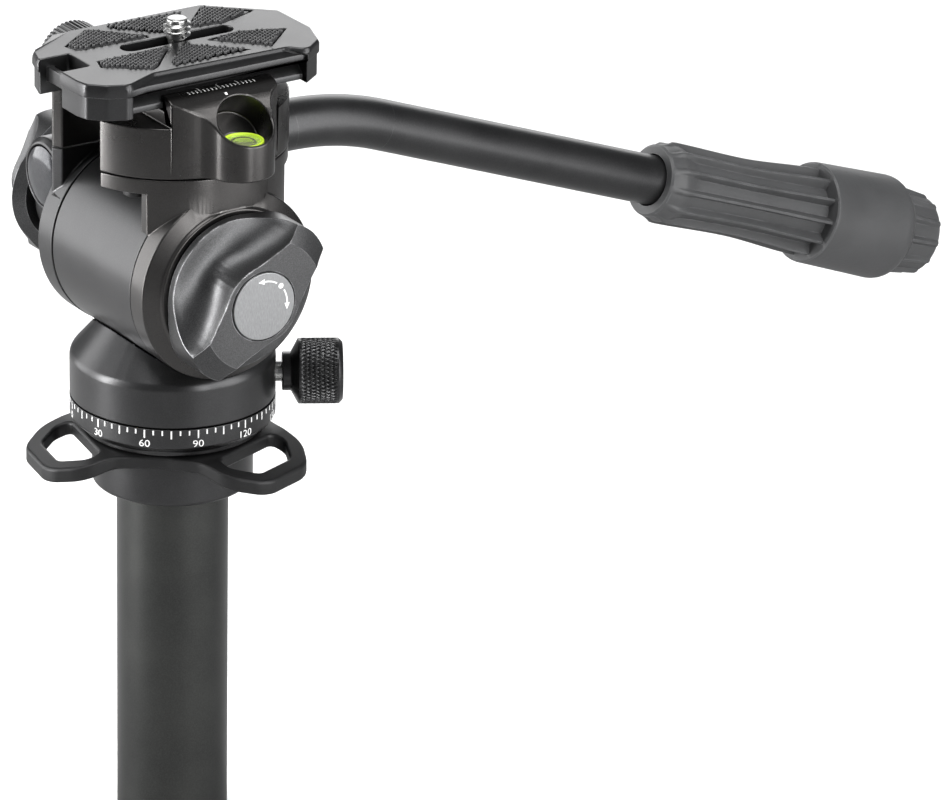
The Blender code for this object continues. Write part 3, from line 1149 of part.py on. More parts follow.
def make_tube(surfaces, handle, start):
    place = (HANDLE_X, 0, HANDLE_RISE)
    path = handle_path(start + GAP)
    levels = {}
    for name, radius in (("outer", TUBE_RADIUS), ("inner", TUBE_RADIUS - TUBE_WALL)):
        rings = []
        for y, z, turn in path:
            ring = []
            for step in range(MIDDLE_SIDES // 2):
                angle = math.tau * step / (MIDDLE_SIDES // 2)
                up = radius * math.sin(angle)
                ring.append((radius * math.cos(angle), y + up * math.sin(turn), z + up * math.cos(turn)))
            rings.append(ring)
        levels[name] = rings
    build = bmesh.new()
    count = MIDDLE_SIDES // 2
    outer = [[build.verts.new(point) for point in ring] for ring in levels["outer"]]
    inner = [[build.verts.new(point) for point in ring] for ring in levels["inner"]]
    for skin in (outer, inner):
        for low, high in zip(skin, skin[1:]):
            for step in range(count):
                turn = (step + 1) % count
                build.faces.new((low[step], low[turn], high[turn], high[step]))
    for end in (0, -1):
        for step in range(count):
            turn = (step + 1) % count
            build.faces.new((outer[end][step], outer[end][turn], inner[end][turn], inner[end][step]))
    finish("handle_tube", build, surfaces["tube"], handle, place)
    return path[-2]


def fluted_ring(radius, depth, height, count, sides_per_flute):
    """A ring whose flutes are flat bottomed, as one closed row of points."""
    points = []
    for flute in range(count):
        for step in range(sides_per_flute):
            turn = math.tau * (flute + step / sides_per_flute) / count
            inside = 0 < step < sides_per_flute - 1
            size = radius - depth if inside else radius
            points.append((size * math.cos(turn), size * math.sin(turn), height))
    return points


def make_grip(surfaces, handle, bend_end):
    """The rubber grip: a chamfered nose, fluted body and smooth collar, with a notched end cap."""
    y, z, turn = bend_end
    axis = empty("grip_axis", handle, (HANDLE_X, y, HANDLE_RISE + z))
    axis.rotation_euler = (-math.radians(90) - turn, 0, 0)
    per = GRIP_SIDES_PER_FLUTE
    count = GRIP_FLUTES
    start = GRIP_START
    flute_end = start + GRIP_FLUTE_END
    collar_end = flute_end + GRIP_COLLAR_LENGTH
    lip = GRIP_COLLAR_ROUND / 2
    profile = (
        (GRIP_NOSE_RADIUS, 0, start), (GRIP_RADIUS, GRIP_FLUTE_DEPTH / 3, start + GRIP_NOSE),
        (GRIP_RADIUS, GRIP_FLUTE_DEPTH, start + 2 * GRIP_NOSE),
        (GRIP_WAIST_RADIUS, GRIP_FLUTE_DEPTH, start + GRIP_WAIST),
        (GRIP_RADIUS + GRIP_FLUTE_DEPTH / 2, GRIP_FLUTE_DEPTH * 3 / 2, flute_end),
        (GRIP_COLLAR_RADIUS - GAP, 0, flute_end + GAP), (GRIP_COLLAR_RADIUS, 0, flute_end + lip),
        (GRIP_COLLAR_END_RADIUS, 0, collar_end - GRIP_COLLAR_ROUND), (GRIP_CAP_RADIUS, 0, collar_end),
    )
    rings = [fluted_ring(radius, depth, height, count, per) for radius, depth, height in profile]
    sleeve = finish("grip_sleeve", loft(rings), surfaces["rubber"], axis)
    tube_end = TUBE_STRAIGHT
    bore = rod(TUBE_RADIUS + GAP, start - OVERRUN, tube_end + GAP, MIDDLE_SIDES)
    cut(sleeve, cutter("grip_bore_cutter", bore, axis))
    plug_radius = TUBE_RADIUS
    plug_room = rod(plug_radius + GAP, collar_end - GRIP_CAP_PLUG - GAP, collar_end + OVERRUN, SMALL_SIDES)
    cut(sleeve, cutter("grip_plug_room_cutter", plug_room, axis))
    cap_low = collar_end + GAP
    cap_high = cap_low + GRIP_CAP_LENGTH
    cap_profile = (
        (GRIP_CAP_RADIUS, 0, cap_low), (GRIP_CAP_RADIUS - GAP, GRIP_CAP_NOTCH_DEPTH, cap_low + GAP * 2),
        (GRIP_CAP_END_RADIUS, GRIP_CAP_NOTCH_DEPTH, cap_high - GAP * 2),
        (GRIP_CAP_END_RADIUS - GRIP_CAP_EDGE, GAP, cap_high),
    )
    rings = [fluted_ring(radius, depth, height, count, per) for radius, depth, height in cap_profile]
    cap = finish("grip_end_cap", loft(rings), surfaces["rubber"], axis)
    plug = rod(plug_radius, cap_low - GRIP_CAP_PLUG, cap_low + OVERRUN, SMALL_SIDES)
    unite(cap, cutter("grip_plug_join", plug, axis))


def make_handle_lock(surfaces, tilt):
    knob_place = BLOCK_OUTER - KNOB_WASHER_THICKNESS - 2 * GAP
    axis = empty("handle_lock_axis", tilt, (knob_place, 0, 0))
    axis.rotation_euler = (0, 0, math.pi)
    wing_knob(
        "handle_lock_knob", surfaces, axis, HANDLE_KNOB_RADIUS, HANDLE_KNOB_WING_REACH,
        HANDLE_KNOB_FACE_RADIUS, HANDLE_KNOB_FACE_REACH, math.radians(90) - HANDLE_KNOB_ANGLE,
        HANDLE_SCREW_RADIUS,
    )
    low = KNOB_HEIGHT - KNOB_DISC_RECESS + GAP
    disc = along_x(rod(KNOB_DISC_RADIUS, low, low + KNOB_DISC_THICKNESS, MIDDLE_SIDES))
    finish("handle_knob_disc", disc, surfaces["silver"], axis)
    screw_outer = KNOB_HEIGHT / 2
    screw_inner = knob_place - HANDLE_SCREW_INNER
    screw = along_x(rod(HANDLE_SCREW_RADIUS, screw_inner, screw_outer, SMALL_SIDES))
    finish("handle_lock_screw", screw, surfaces["steel"], axis)
    washer_inner = -GAP - KNOB_WASHER_THICKNESS
    washer = tube(HANDLE_SCREW_RADIUS + GAP, HANDLE_WASHER_RADIUS, washer_inner, -GAP, SMALL_SIDES)
    finish("handle_lock_washer", along_x(washer), surfaces["steel"], axis)


def main():
    for old in list(bpy.data.objects):
        bpy.data.objects.remove(old, do_unlink=True)
    surfaces = {
        "black": material("black_anodised", (0.022, 0.022, 0.024), 0.42, 0.7),
        "matt": material("matt_black", (0.018, 0.018, 0.019), 0.6, 0.3),
        "tube": material("satin_black_tube", (0.03, 0.03, 0.032), 0.38, 0.6),
        "rubber": material("rubber", (0.03, 0.03, 0.032), 0.75, 0.0),
        "gloss": material("gloss_black", (0.02, 0.02, 0.022), 0.12, 0.2),
        "steel": material("bright_steel", (0.75, 0.75, 0.76), 0.22, 1.0),
        "silver": material("brushed_silver", (0.5, 0.5, 0.5), 0.35, 0.9),
        "bronze": material("bearing_bronze", (0.45, 0.3, 0.14), 0.4, 0.9),
        "fluid": material("level_fluid", (0.45, 0.62, 0.05), 0.15, 0.0),
        "clear": material("level_lens", (0.75, 0.85, 0.3), 0.05, 0.0),
    }
    collar, loops, foot, seam = stack_heights()
    make_column(surfaces)
    make_loop_plate(surfaces)
    make_base(surfaces)
    pan = empty("pan_axis", None, (0, 0, seam))
    tilt = empty("tilt_axis", pan, (0, 0, TILT_HEIGHT))
    make_pan_post(surfaces, pan)
    housing = make_pan_housing(surfaces, pan, tilt)
    make_pan_lock(surfaces, pan)
    barrel = make_barrel(surfaces, tilt)
    make_saddle_screws(surfaces, pan, housing, barrel)
    make_drag(surfaces, tilt)
    make_left_cheek(surfaces, tilt)
    right_cheek = make_right_cheek(surfaces, tilt)
    body = make_clamp_body(surfaces, tilt)
    make_ledge_screws(surfaces, tilt, right_cheek, body)
    make_level(surfaces, tilt)
    make_jaw(surfaces, tilt)
    make_clamp_knob(surfaces, tilt)
    slide = make_plate(surfaces, tilt)
    make_camera_screw(surfaces, slide)
    make_tilt_lock(surfaces, tilt)
    handle = empty("handle_pivot", tilt, (0, 0, 0))
    start = make_handle_block(surfaces, handle)
    bend_end = make_tube(surfaces, handle, start)
    make_grip(surfaces, handle, bend_end)
    make_handle_lock(surfaces, tilt)


main()
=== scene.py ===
import math

import bmesh
import bpy
from mathutils import Matrix, Vector


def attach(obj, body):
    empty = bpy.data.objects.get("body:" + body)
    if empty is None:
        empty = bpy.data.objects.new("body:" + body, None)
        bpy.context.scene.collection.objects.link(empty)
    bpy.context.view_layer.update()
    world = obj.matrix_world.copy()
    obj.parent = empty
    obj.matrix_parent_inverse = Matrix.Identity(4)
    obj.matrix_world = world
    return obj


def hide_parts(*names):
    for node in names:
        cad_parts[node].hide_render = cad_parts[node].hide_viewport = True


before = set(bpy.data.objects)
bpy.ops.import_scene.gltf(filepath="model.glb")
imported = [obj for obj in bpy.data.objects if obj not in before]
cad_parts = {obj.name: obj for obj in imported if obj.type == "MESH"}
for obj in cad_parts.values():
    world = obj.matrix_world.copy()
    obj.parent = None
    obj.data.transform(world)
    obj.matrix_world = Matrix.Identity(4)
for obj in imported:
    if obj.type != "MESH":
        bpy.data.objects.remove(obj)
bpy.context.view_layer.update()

# All sizes below are in millimetres, and a finished piece is scaled to metres.
toMetres = 0.001
heights = {"seam": 109.7, "tiltAxis": 144.1}
tiltCentre = (0, 0, heights["tiltAxis"])
gap = 0.3  # clearance between pieces
far = 60  # how far a cutting tool reaches past the part
merge = 0.0005  # verts nearer than this become one
print("stage: frame loaded,", len(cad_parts), "nodes")


# Reads points from a piece's sizes: "hole top" is (sizes["hole"], sizes["top"]), and 0 is 0.
def pick(sizes, words):
    return [tuple(0.0 if word == "0" else sizes[word] for word in pair.split()) for pair in words.split(", ")]


def rectangle(left, right, low, high):
    return [(right, low), (right, high), (left, high), (left, low)]


def arcPoints(centre, radius, start, end, steps):
    angles = [start + (end - start) * step / steps for step in range(steps + 1)]
    return [(centre[0] + radius * math.cos(a), centre[1] + radius * math.sin(a)) for a in angles]


# Rounds the corners of a flat outline, by one radius or by one for each corner.
def roundCorners(points, radius, steps=3):
    radii = radius if hasattr(radius, "__len__") else [radius] * len(points)
    straight = math.radians(89)
    made = []
    for index, point in enumerate(points):
        here = Vector(point)
        back = Vector(points[index - 1]) - here
        on = Vector(points[(index + 1) % len(points)]) - here
        if radii[index] <= 0 or back.angle(on) / 2 > straight:
            made.append(tuple(here))
            continue
        half = back.angle(on) / 2
        reach = min(radii[index] / math.tan(half), back.length * 0.49, on.length * 0.49)
        bend = reach * math.tan(half)
        back.normalize()
        on.normalize()
        centre = here + (back + on).normalized() * bend / math.sin(half)
        first = here + back * reach - centre
        last = here + on * reach - centre
        start = math.atan2(first.y, first.x)
        turn = math.atan2(first.x * last.y - first.y * last.x, first.dot(last))
        made += arcPoints(centre, bend, start, start + turn, steps)
    return made


# Spins a closed (radius, height) profile about Z.
def lathe(profile, sides=128):
    build = bmesh.new()
    verts = [build.verts.new((radius, 0, height)) for radius, height in profile]
    pairs = zip(verts, verts[1:] + verts[:1])
    edges = [build.edges.new(pair) for pair in pairs if pair[0].co.x + pair[1].co.x > 0]
    bmesh.ops.spin(
        build, geom=verts + edges, cent=(0, 0, 0), axis=(0, 0, 1), angle=math.tau, steps=sides, use_merge=True
    )
    bmesh.ops.remove_doubles(build, verts=build.verts, dist=merge)
    bmesh.ops.recalc_face_normals(build, faces=build.faces)
    return build


# Spins an outline picked from a piece's sizes, its corners rounded by the piece's "rounds".
def turned(sizes, words, sides=128, steps=3):
    return lathe(roundCorners(pick(sizes, words), sizes["rounds"], steps), sides)


def rod(radius, low, high, sides=48):
    return lathe([(0, low), (radius, low), (radius, high), (0, high)], sides)


def rodAlong(radius, low, high, axis="X", sides=144, centre=(0, 0, 0)):
    return shift(turnTo(rod(radius, low, high, sides), axis), *centre)


# A flat (x, y) outline between two heights, with its upper rim bevelled.
def slab(outline, low, high, bevel=0.0):
    build = bmesh.new()
    face = build.faces.new([build.verts.new((x, y, low)) for x, y in outline])
    made = bmesh.ops.extrude_face_region(build, geom=[face])["geom"]
    bmesh.ops.translate(build, verts=only(made, bmesh.types.BMVert), vec=(0, 0, high - low))
    bmesh.ops.recalc_face_normals(build, faces=build.faces)
    if bevel:
        rim = [edge for edge in build.edges if all(abs(vert.co.z - high) < merge for vert in edge.verts)]
        bmesh.ops.bevel(
            build, geom=rim, offset=bevel, segments=2, profile=0.5, affect="EDGES", material=-1,
            clamp_overlap=True,
        )
    return build


# An (x, z) outline between two places along Y.
def frontSlab(outline, back, front):
    build = slab(outline, back, front)
    matrix = Matrix(((1, 0, 0, 0), (0, 0, 1, 0), (0, 1, 0, 0), (0, 0, 0, 1)))
    bmesh.ops.transform(build, matrix=matrix, verts=build.verts)
    bmesh.ops.recalc_face_normals(build, faces=build.faces)
    return build


def bar(low, high):
    build = bmesh.new()
    bmesh.ops.create_cube(build, size=1)
    bmesh.ops.scale(build, vec=[b - a for a, b in zip(low, high)], verts=build.verts)
    bmesh.ops.translate(build, vec=[(a + b) / 2 for a, b in zip(low, high)], verts=build.verts)
    return build


# Bridges rings of points one after another, and closes the two ends.
def loftRings(rings, closeEnds=True):
    build = bmesh.new()
    last, ends = None, []
    for points in rings:
        verts = [build.verts.new(point) for point in points]
        edges = [build.edges.new((verts[index - 1], verts[index])) for index in range(len(verts))]
        if last:
            bmesh.ops.bridge_loops(build, edges=last + edges)
        last = edges
        ends.append(verts)
    if closeEnds:
        build.faces.new(ends[0])
        build.faces.new(ends[-1])
    bmesh.ops.recalc_face_normals(build, faces=build.faces)
    return build


# Turns a shape made along Z so that it lies along X or Y.
def turnTo(build, axis):
    angle, about = (90, "Y") if axis == "X" else (-90, "X")
    bmesh.ops.transform(build, matrix=Matrix.Rotation(math.radians(angle), 4, about), verts=build.verts)
    return build


def shift(build, x=0.0, y=0.0, z=0.0):
    bmesh.ops.translate(build, vec=(x, y, z), verts=build.verts)
    return build


def twist(build, angle, axis="Z"):
    bmesh.ops.rotate(build, cent=(0, 0, 0), matrix=Matrix.Rotation(angle, 3, axis), verts=build.verts)
    return build


# Adds an edge loop where a plane crosses a shape.
def cutAcross(build, place, normal):
    everything = build.verts[:] + build.edges[:] + build.faces[:]
    bmesh.ops.bisect_plane(build, geom=everything, plane_co=place, plane_no=normal, dist=merge)


def only(items, kind):
    return [item for item in items if isinstance(item, kind)]


# Puts several shapes in one build, as separate shells.
def joined(*builds):
    whole = bmesh.new()
    for build in builds:
        mesh = bpy.data.meshes.new("shell")
        build.to_mesh(mesh)
        build.free()
        whole.from_mesh(mesh)
        bpy.data.meshes.remove(mesh)
    return whole


# A temporary object, in millimetres.
def solid(build, name="solid"):
    mesh = bpy.data.meshes.new(name)
    build.to_mesh(mesh)
    build.free()
    made = bpy.data.objects.new(name, mesh)
    bpy.context.scene.collection.objects.link(made)
    return made


# Applies the modifiers of a temporary object.
def settle(target):
    graph = bpy.context.evaluated_depsgraph_get()
    mesh = bpy.data.meshes.new_from_object(target.evaluated_get(graph))
    target.modifiers.clear()
    old = target.data
    target.data = mesh
    bpy.data.meshes.remove(old)
    return target


def combine(target, operation, *builds):
    tools = [solid(build) for build in builds]
    for tool in tools:
        modifier = target.modifiers.new("combine", "BOOLEAN")
        modifier.operation = operation
        modifier.object = tool
        modifier.solver = "EXACT"
    settle(target)
    for tool in tools:
        bpy.data.objects.remove(tool, do_unlink=True)
    return target


def carve(target, *builds):
    return combine(target, "DIFFERENCE", *builds)


def weldOn(target, *builds):
    return combine(target, "UNION", *builds)


# Takes the mesh of a temporary object back into a build.
def reopen(target):
    build = bmesh.new()
    build.from_mesh(target.data)
    bpy.data.objects.remove(target, do_unlink=True)
    return build


# Cleans flat faces after Booleans, then rounds the sharp edges.
def softenEdges(target, width, angle=30, segments=3):
    cleaning = {"merge": 0.004, "flat": math.radians(0.6), "shortest": 0.2}
    build = bmesh.new()
    build.from_mesh(target.data)
    bmesh.ops.remove_doubles(build, verts=build.verts, dist=cleaning["merge"])
    bmesh.ops.dissolve_limit(
        build, angle_limit=cleaning["flat"], verts=build.verts, edges=build.edges,
        use_dissolve_boundaries=False,
    )
    bmesh.ops.dissolve_degenerate(build, dist=cleaning["shortest"], edges=build.edges)
    build.to_mesh(target.data)
    build.free()
    modifier = target.modifiers.new("edges", "BEVEL")
    modifier.width = width
    modifier.segments = segments
    modifier.limit_method = "ANGLE"
    modifier.angle_limit = math.radians(angle)
    modifier.use_clamp_overlap = False
    return settle(target)


def camelName(words):
    first, *rest = words.split("_")
    return first + "".join(word.capitalize() for word in rest)


# Makes the named object in metres, rides it on its body and stands it for its CAD node.
def finishPiece(source, body, finish, node=None, name=None, sharp=36, place=(0, 0, 0)):
    name = name or camelName(node)
    made = source if isinstance(source, bpy.types.Object) else solid(source, name)
    made.name = name
    made.data.name = name
    made.data.transform(Matrix.Translation(place))
    made.data.transform(Matrix.Scale(toMetres, 4))
    made.data.shade_smooth()
    made.data.set_sharp_from_angle(angle=math.radians(sharp))
    made.data.materials.clear()
    made.data.materials.append(finishes[finish])
    normals = made.modifiers.new("normals", "WEIGHTED_NORMAL")
    normals.keep_sharp = True
    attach(made, body)
    if node:
        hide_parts(node)


def groupStart(name, inputs, outputs):
    group = bpy.data.node_groups.new(name, "ShaderNodeTree")
    for label, kind, value in inputs:
        socket = group.interface.new_socket(label, in_out="INPUT", socket_type=kind)
        if value is not None:
            socket.default_value = value
    for label in outputs:
        group.interface.new_socket(label, in_out="OUTPUT", socket_type="NodeSocketFloat")
    return group, group.nodes.new("NodeGroupInput"), group.nodes.new("NodeGroupOutput")


def addNode(tree, kind, **settings):
    node = tree.nodes.new(kind)
    for key, value in settings.items():
        if key in node.inputs:
            node.inputs[key].default_value = value
        else:
            setattr(node, key, value)
    return node


def spreadValue(tree, value, low, high, fromLow=0.3, fromHigh=0.7):
    node = addNode(tree, "ShaderNodeMapRange", **{
        "From Min": fromLow, "From Max": fromHigh, "To Min": low, "To Max": high,
    })
    tree.links.new(value, node.inputs["Value"])
    return node.outputs["Result"]


# Fine blasted grain for the bump, and a slow mottle for colour and gloss.
def makeBlastGrain():
    group, given, out = groupStart(
        "blastGrain",
        (("Vector", "NodeSocketVector", None), ("Grain Scale", "NodeSocketFloat", 2600.0),
         ("Mottle Scale", "NodeSocketFloat", 60.0)), ("Height", "Mottle"),
    )
    link = group.links.new
    grain = addNode(group, "ShaderNodeTexNoise", Detail=2.0, Roughness=0.6)
    fine = addNode(group, "ShaderNodeTexVoronoi", feature="F1")
    mottle = addNode(group, "ShaderNodeTexNoise", Detail=4.0, Roughness=0.55)
    for node, scale in ((grain, "Grain Scale"), (fine, "Grain Scale"), (mottle, "Mottle Scale")):
        link(given.outputs["Vector"], node.inputs["Vector"])
        link(given.outputs[scale], node.inputs["Scale"])
    both = addNode(group, "ShaderNodeMath", operation="MULTIPLY_ADD")
    both.inputs[1].default_value = 0.5
    link(fine.outputs["Distance"], both.inputs[0])
    link(grain.outputs["Fac"], both.inputs[2])
    link(both.outputs[0], out.inputs["Height"])
    link(mottle.outputs["Fac"], out.inputs["Mottle"])
    return group


# Where an edge is sharp, broken up by noise: 1 on the edge, 0 on the flat.
def makeEdgeWear():
    group, given, out = groupStart(
        "edgeWear",
        (("Vector", "NodeSocketVector", None), ("Radius", "NodeSocketFloat", 0.0003),
         ("Break Scale", "NodeSocketFloat", 400.0)), ("Mask",),
    )
    link = group.links.new
    bevel = addNode(group, "ShaderNodeBevel", samples=4)
    geometry = addNode(group, "ShaderNodeNewGeometry")
    dot = addNode(group, "ShaderNodeVectorMath", operation="DOT_PRODUCT")
    noise = addNode(group, "ShaderNodeTexNoise", Detail=3.0)
    both = addNode(group, "ShaderNodeMath", operation="MULTIPLY")
    link(given.outputs["Radius"], bevel.inputs["Radius"])
    link(bevel.outputs["Normal"], dot.inputs[0])
    link(geometry.outputs["Normal"], dot.inputs[1])
    link(given.outputs["Vector"], noise.inputs["Vector"])
    link(given.outputs["Break Scale"], noise.inputs["Scale"])
    link(spreadValue(group, dot.outputs["Value"], 0, 1, 0.995, 0.93), both.inputs[0])
    link(spreadValue(group, noise.outputs["Fac"], 0, 1, 0.35, 0.6), both.inputs[1])
    link(both.outputs[0], out.inputs["Mask"])
    return group


# Fine straight brush marks along one direction.
def makeBrushLines():
    group, given, out = groupStart(
        "brushLines",
        (("Vector", "NodeSocketVector", None), ("Stretch", "NodeSocketVector", (40.0, 4000.0, 4000.0))),
        ("Lines",),
    )
    link = group.links.new
    scale = addNode(group, "ShaderNodeVectorMath", operation="MULTIPLY")
    noise = addNode(group, "ShaderNodeTexNoise", Scale=1.0, Detail=3.0, Roughness=0.7)
    link(given.outputs["Vector"], scale.inputs[0])
    link(given.outputs["Stretch"], scale.inputs[1])
    link(scale.outputs[0], noise.inputs["Vector"])
    link(noise.outputs["Fac"], out.inputs["Lines"])
    return group


blastGrain, edgeWear, brushLines = makeBlastGrain(), makeEdgeWear(), makeBrushLines()


# Starts a material with its grain, and gives what its recipe goes on with.
def startMaterial(name, metallic, specular, grain, mottle):
    made = bpy.data.materials.new(name)
    made.use_nodes = True
    tree = made.node_tree
    shader = tree.nodes["Principled BSDF"]
    shader.inputs["Metallic"].default_value = metallic
    shader.inputs["Specular IOR Level"].default_value = specular
    vector = addNode(tree, "ShaderNodeTexCoord").outputs["Object"]
    marks = useGroup(tree, blastGrain, vector, **{"Grain Scale": grain, "Mottle Scale": mottle})
    return made, tree, shader.inputs, vector, marks


def useGroup(tree, group, vector, **values):
    node = addNode(tree, "ShaderNodeGroup", node_tree=group)
    tree.links.new(vector, node.inputs["Vector"])
    for key, value in values.items():
        node.inputs[key].default_value = value
    return node.outputs


def mixColour(tree, factor, first, second):
    node = addNode(tree, "ShaderNodeMix", data_type="RGBA")
    tree.links.new(factor, node.inputs["Factor"])
    for socket, value in ((node.inputs[6], first), (node.inputs[7], second)):
        if isinstance(value, tuple):
            socket.default_value = (*value, 1)
        else:
            tree.links.new(value, socket)
    return node.outputs[2]


def bumpFrom(tree, height, distance, strength):
    node = addNode(tree, "ShaderNodeBump", Strength=strength, Distance=distance)
    tree.links.new(height, node.inputs["Height"])
    return node.outputs["Normal"]


# Bead-blasted, anodised metal: grain in the bump, mottled gloss, paler machined edges.
def anodised(name, dark, light, rough, worn, metallic=0.9, grain=4200.0, depth=0.000006, wear=0.0002):
    made, tree, shader, vector, marks = startMaterial(name, metallic, 0.5, grain, 70.0)
    link = tree.links.new
    edges = useGroup(tree, edgeWear, vector, Radius=wear)
    base = mixColour(tree, spreadValue(tree, marks["Mottle"], 0, 1), dark, light)
    speck = mixColour(tree, spreadValue(tree, marks["Height"], 0, 0.12, 0.55, 1.0), base, worn)
    link(mixColour(tree, edges["Mask"], speck, worn), shader["Base Color"])
    link(spreadValue(tree, marks["Mottle"], rough - 0.03, rough + 0.03), shader["Roughness"])
    link(bumpFrom(tree, marks["Height"], depth, 0.6), shader["Normal"])
    return made


def rubber(name, dark, light, rough):
    made, tree, shader, vector, marks = startMaterial(name, 0.0, 0.35, 900.0, 45.0)
    link = tree.links.new
    edges = useGroup(tree, edgeWear, vector, Radius=0.0005, **{"Break Scale": 250.0})
    base = mixColour(tree, spreadValue(tree, marks["Mottle"], 0, 1), dark, light)
    rubbed = tuple(c * 1.7 for c in light)
    link(mixColour(tree, edges["Mask"], base, rubbed), shader["Base Color"])
    link(spreadValue(tree, marks["Mottle"], rough - 0.07, rough + 0.07), shader["Roughness"])
    link(bumpFrom(tree, marks["Height"], 0.00004, 0.8), shader["Normal"])
    return made


def brushed(name, dark, light, rough, stretch, metallic=1.0):
    made, tree, shader, vector, marks = startMaterial(name, metallic, 0.5, 1800.0, 90.0)
    link = tree.links.new
    lines = useGroup(tree, brushLines, vector, Stretch=stretch)["Lines"]
    link(mixColour(tree, spreadValue(tree, lines, 0, 1), dark, light), shader["Base Color"])
    link(spreadValue(tree, marks["Mottle"], rough - 0.06, rough + 0.08), shader["Roughness"])
    link(bumpFrom(tree, lines, 0.00001, 0.7), shader["Normal"])
    return made


# Filled white engraving, with thin spots.
def ink(name, dark, light):
    made, tree, shader, vector, marks = startMaterial(name, 0.0, 0.3, 3200.0, 900.0)
    tree.links.new(mixColour(tree, spreadValue(tree, marks["Mottle"], 0, 1), dark, light), shader["Base Color"])
    tree.links.new(spreadValue(tree, marks["Height"], 0.5, 0.75), shader["Roughness"])
    return made


# A clear or tinted liquid; paintedGlow makes it emit its own colour, a painted glow, since the fluid is no
# lamp.
def fluid(name, dark, light, rough, transmission, paintedGlow=0.0):
    made, tree, shader, vector, marks = startMaterial(name, 0.0, 0.5, 900.0, 260.0)
    shader["Transmission Weight"].default_value = transmission
    shader["IOR"].default_value = 1.45
    colour = mixColour(tree, spreadValue(tree, marks["Mottle"], 0, 1), dark, light)
    tree.links.new(colour, shader["Base Color"])
    if paintedGlow:
        tree.links.new(colour, shader["Emission Color"])
        shader["Emission Strength"].default_value = paintedGlow
    tree.links.new(spreadValue(tree, marks["Mottle"], rough, rough + 0.06), shader["Roughness"])
    return made


# Each recipe: name, darker and lighter colour, roughness, and what it needs besides.
finishes = {
   
   
    "head": anodised("blackAnodised", (0.036, 0.036, 0.037), (0.046, 0.046, 0.047), 0.34, (0.11, 0.11, 0.11)),
    # The pod's faint warm tint is a painted warm reflection, standing in for warm light mirrored in its satin
    # black.
    "pod": anodised(
        "podAnodisedWarmReflection", (0.043, 0.0412, 0.0405), (0.053, 0.051, 0.05), 0.29, (0.13, 0.128, 0.125),
    ),
    "knob": anodised(
        "knobAnodised", (0.044, 0.0442, 0.045), (0.056, 0.0563, 0.057), 0.38, (0.3, 0.3, 0.31), wear=0.0003,
    ),
    "matt": anodised(
        "mattBlack", (0.01, 0.01, 0.0105), (0.015, 0.015, 0.0155), 0.46, (0.04, 0.04, 0.04), 0.6,
    ),
    "knurl": anodised(
        "knurlBlack", (0.026, 0.026, 0.027), (0.036, 0.036, 0.037), 0.3, (0.2, 0.2, 0.2), wear=0.00015,
    ),
    "tube": anodised(
        "satinTube", (0.036, 0.036, 0.037), (0.046, 0.046, 0.047), 0.38, (0.1, 0.1, 0.1), grain=2400.0,
    ),
    "column": anodised(
        "columnAnodised", (0.034, 0.035, 0.034), (0.044, 0.045, 0.043), 0.4, (0.1, 0.1, 0.1), grain=2600.0,
    ),
    "gloss": anodised(
        "glossCap", (0.03, 0.031, 0.034), (0.04, 0.041, 0.045), 0.14, (0.2, 0.2, 0.21), 0.6, 1200.0, 0.000002,
    ),
    "grip": rubber("gripRubber", (0.042, 0.0425, 0.0435), (0.056, 0.0565, 0.058), 0.5),
    "pad": rubber("padRubber", (0.024, 0.024, 0.025), (0.036, 0.036, 0.037), 0.42),
    "steel": brushed("brightSteel", (0.3, 0.3, 0.296), (0.48, 0.48, 0.472), 0.28, (900.0, 900.0, 4200.0)),
    "silver": brushed(
        "discSilver", (0.17, 0.172, 0.175), (0.24, 0.243, 0.246), 0.42, (300.0, 5200.0, 900.0), 0.75,
    ),
   
   
    "bronze": brushed("bearingBronze", (0.38, 0.25, 0.11), (0.5, 0.34, 0.16), 0.34, (1200.0, 1200.0, 3000.0)),
    "ink": ink("whiteInk", (0.62, 0.62, 0.62), (0.86, 0.86, 0.85)),
    # The level's fluid gets a painted glow of strength 0.35.
    "fluid": fluid("levelFluid", (0.42, 0.6, 0.03), (0.55, 0.76, 0.06), 0.2, 0.0, 0.35),
    "lens": fluid("levelLens", (0.9, 0.96, 0.6), (0.96, 1.0, 0.75), 0.03, 0.9),
}
print("stage: materials made")

column = {"radius": 12.9, "inner": 11.3, "top": 95.1, "rounds": 0.3}
finishPiece(turned(column, "radius 0, radius top, inner top, inner 0"), "base", "column", "column_tube")

collar = {
    "radius": 18.6, "sleeve": 13.2, "hole": 5.06, "low": 88.4, "roof": 95.4, "top": 98.4,
    "rounds": [0, 0, 0.2, 1.0, 0.45, 0],
}
outline = "hole roof, sleeve roof, sleeve low, radius low, radius top, hole top"
finishPiece(turned(collar, outline), "base", "head", "column_collar")
print("stage: column")

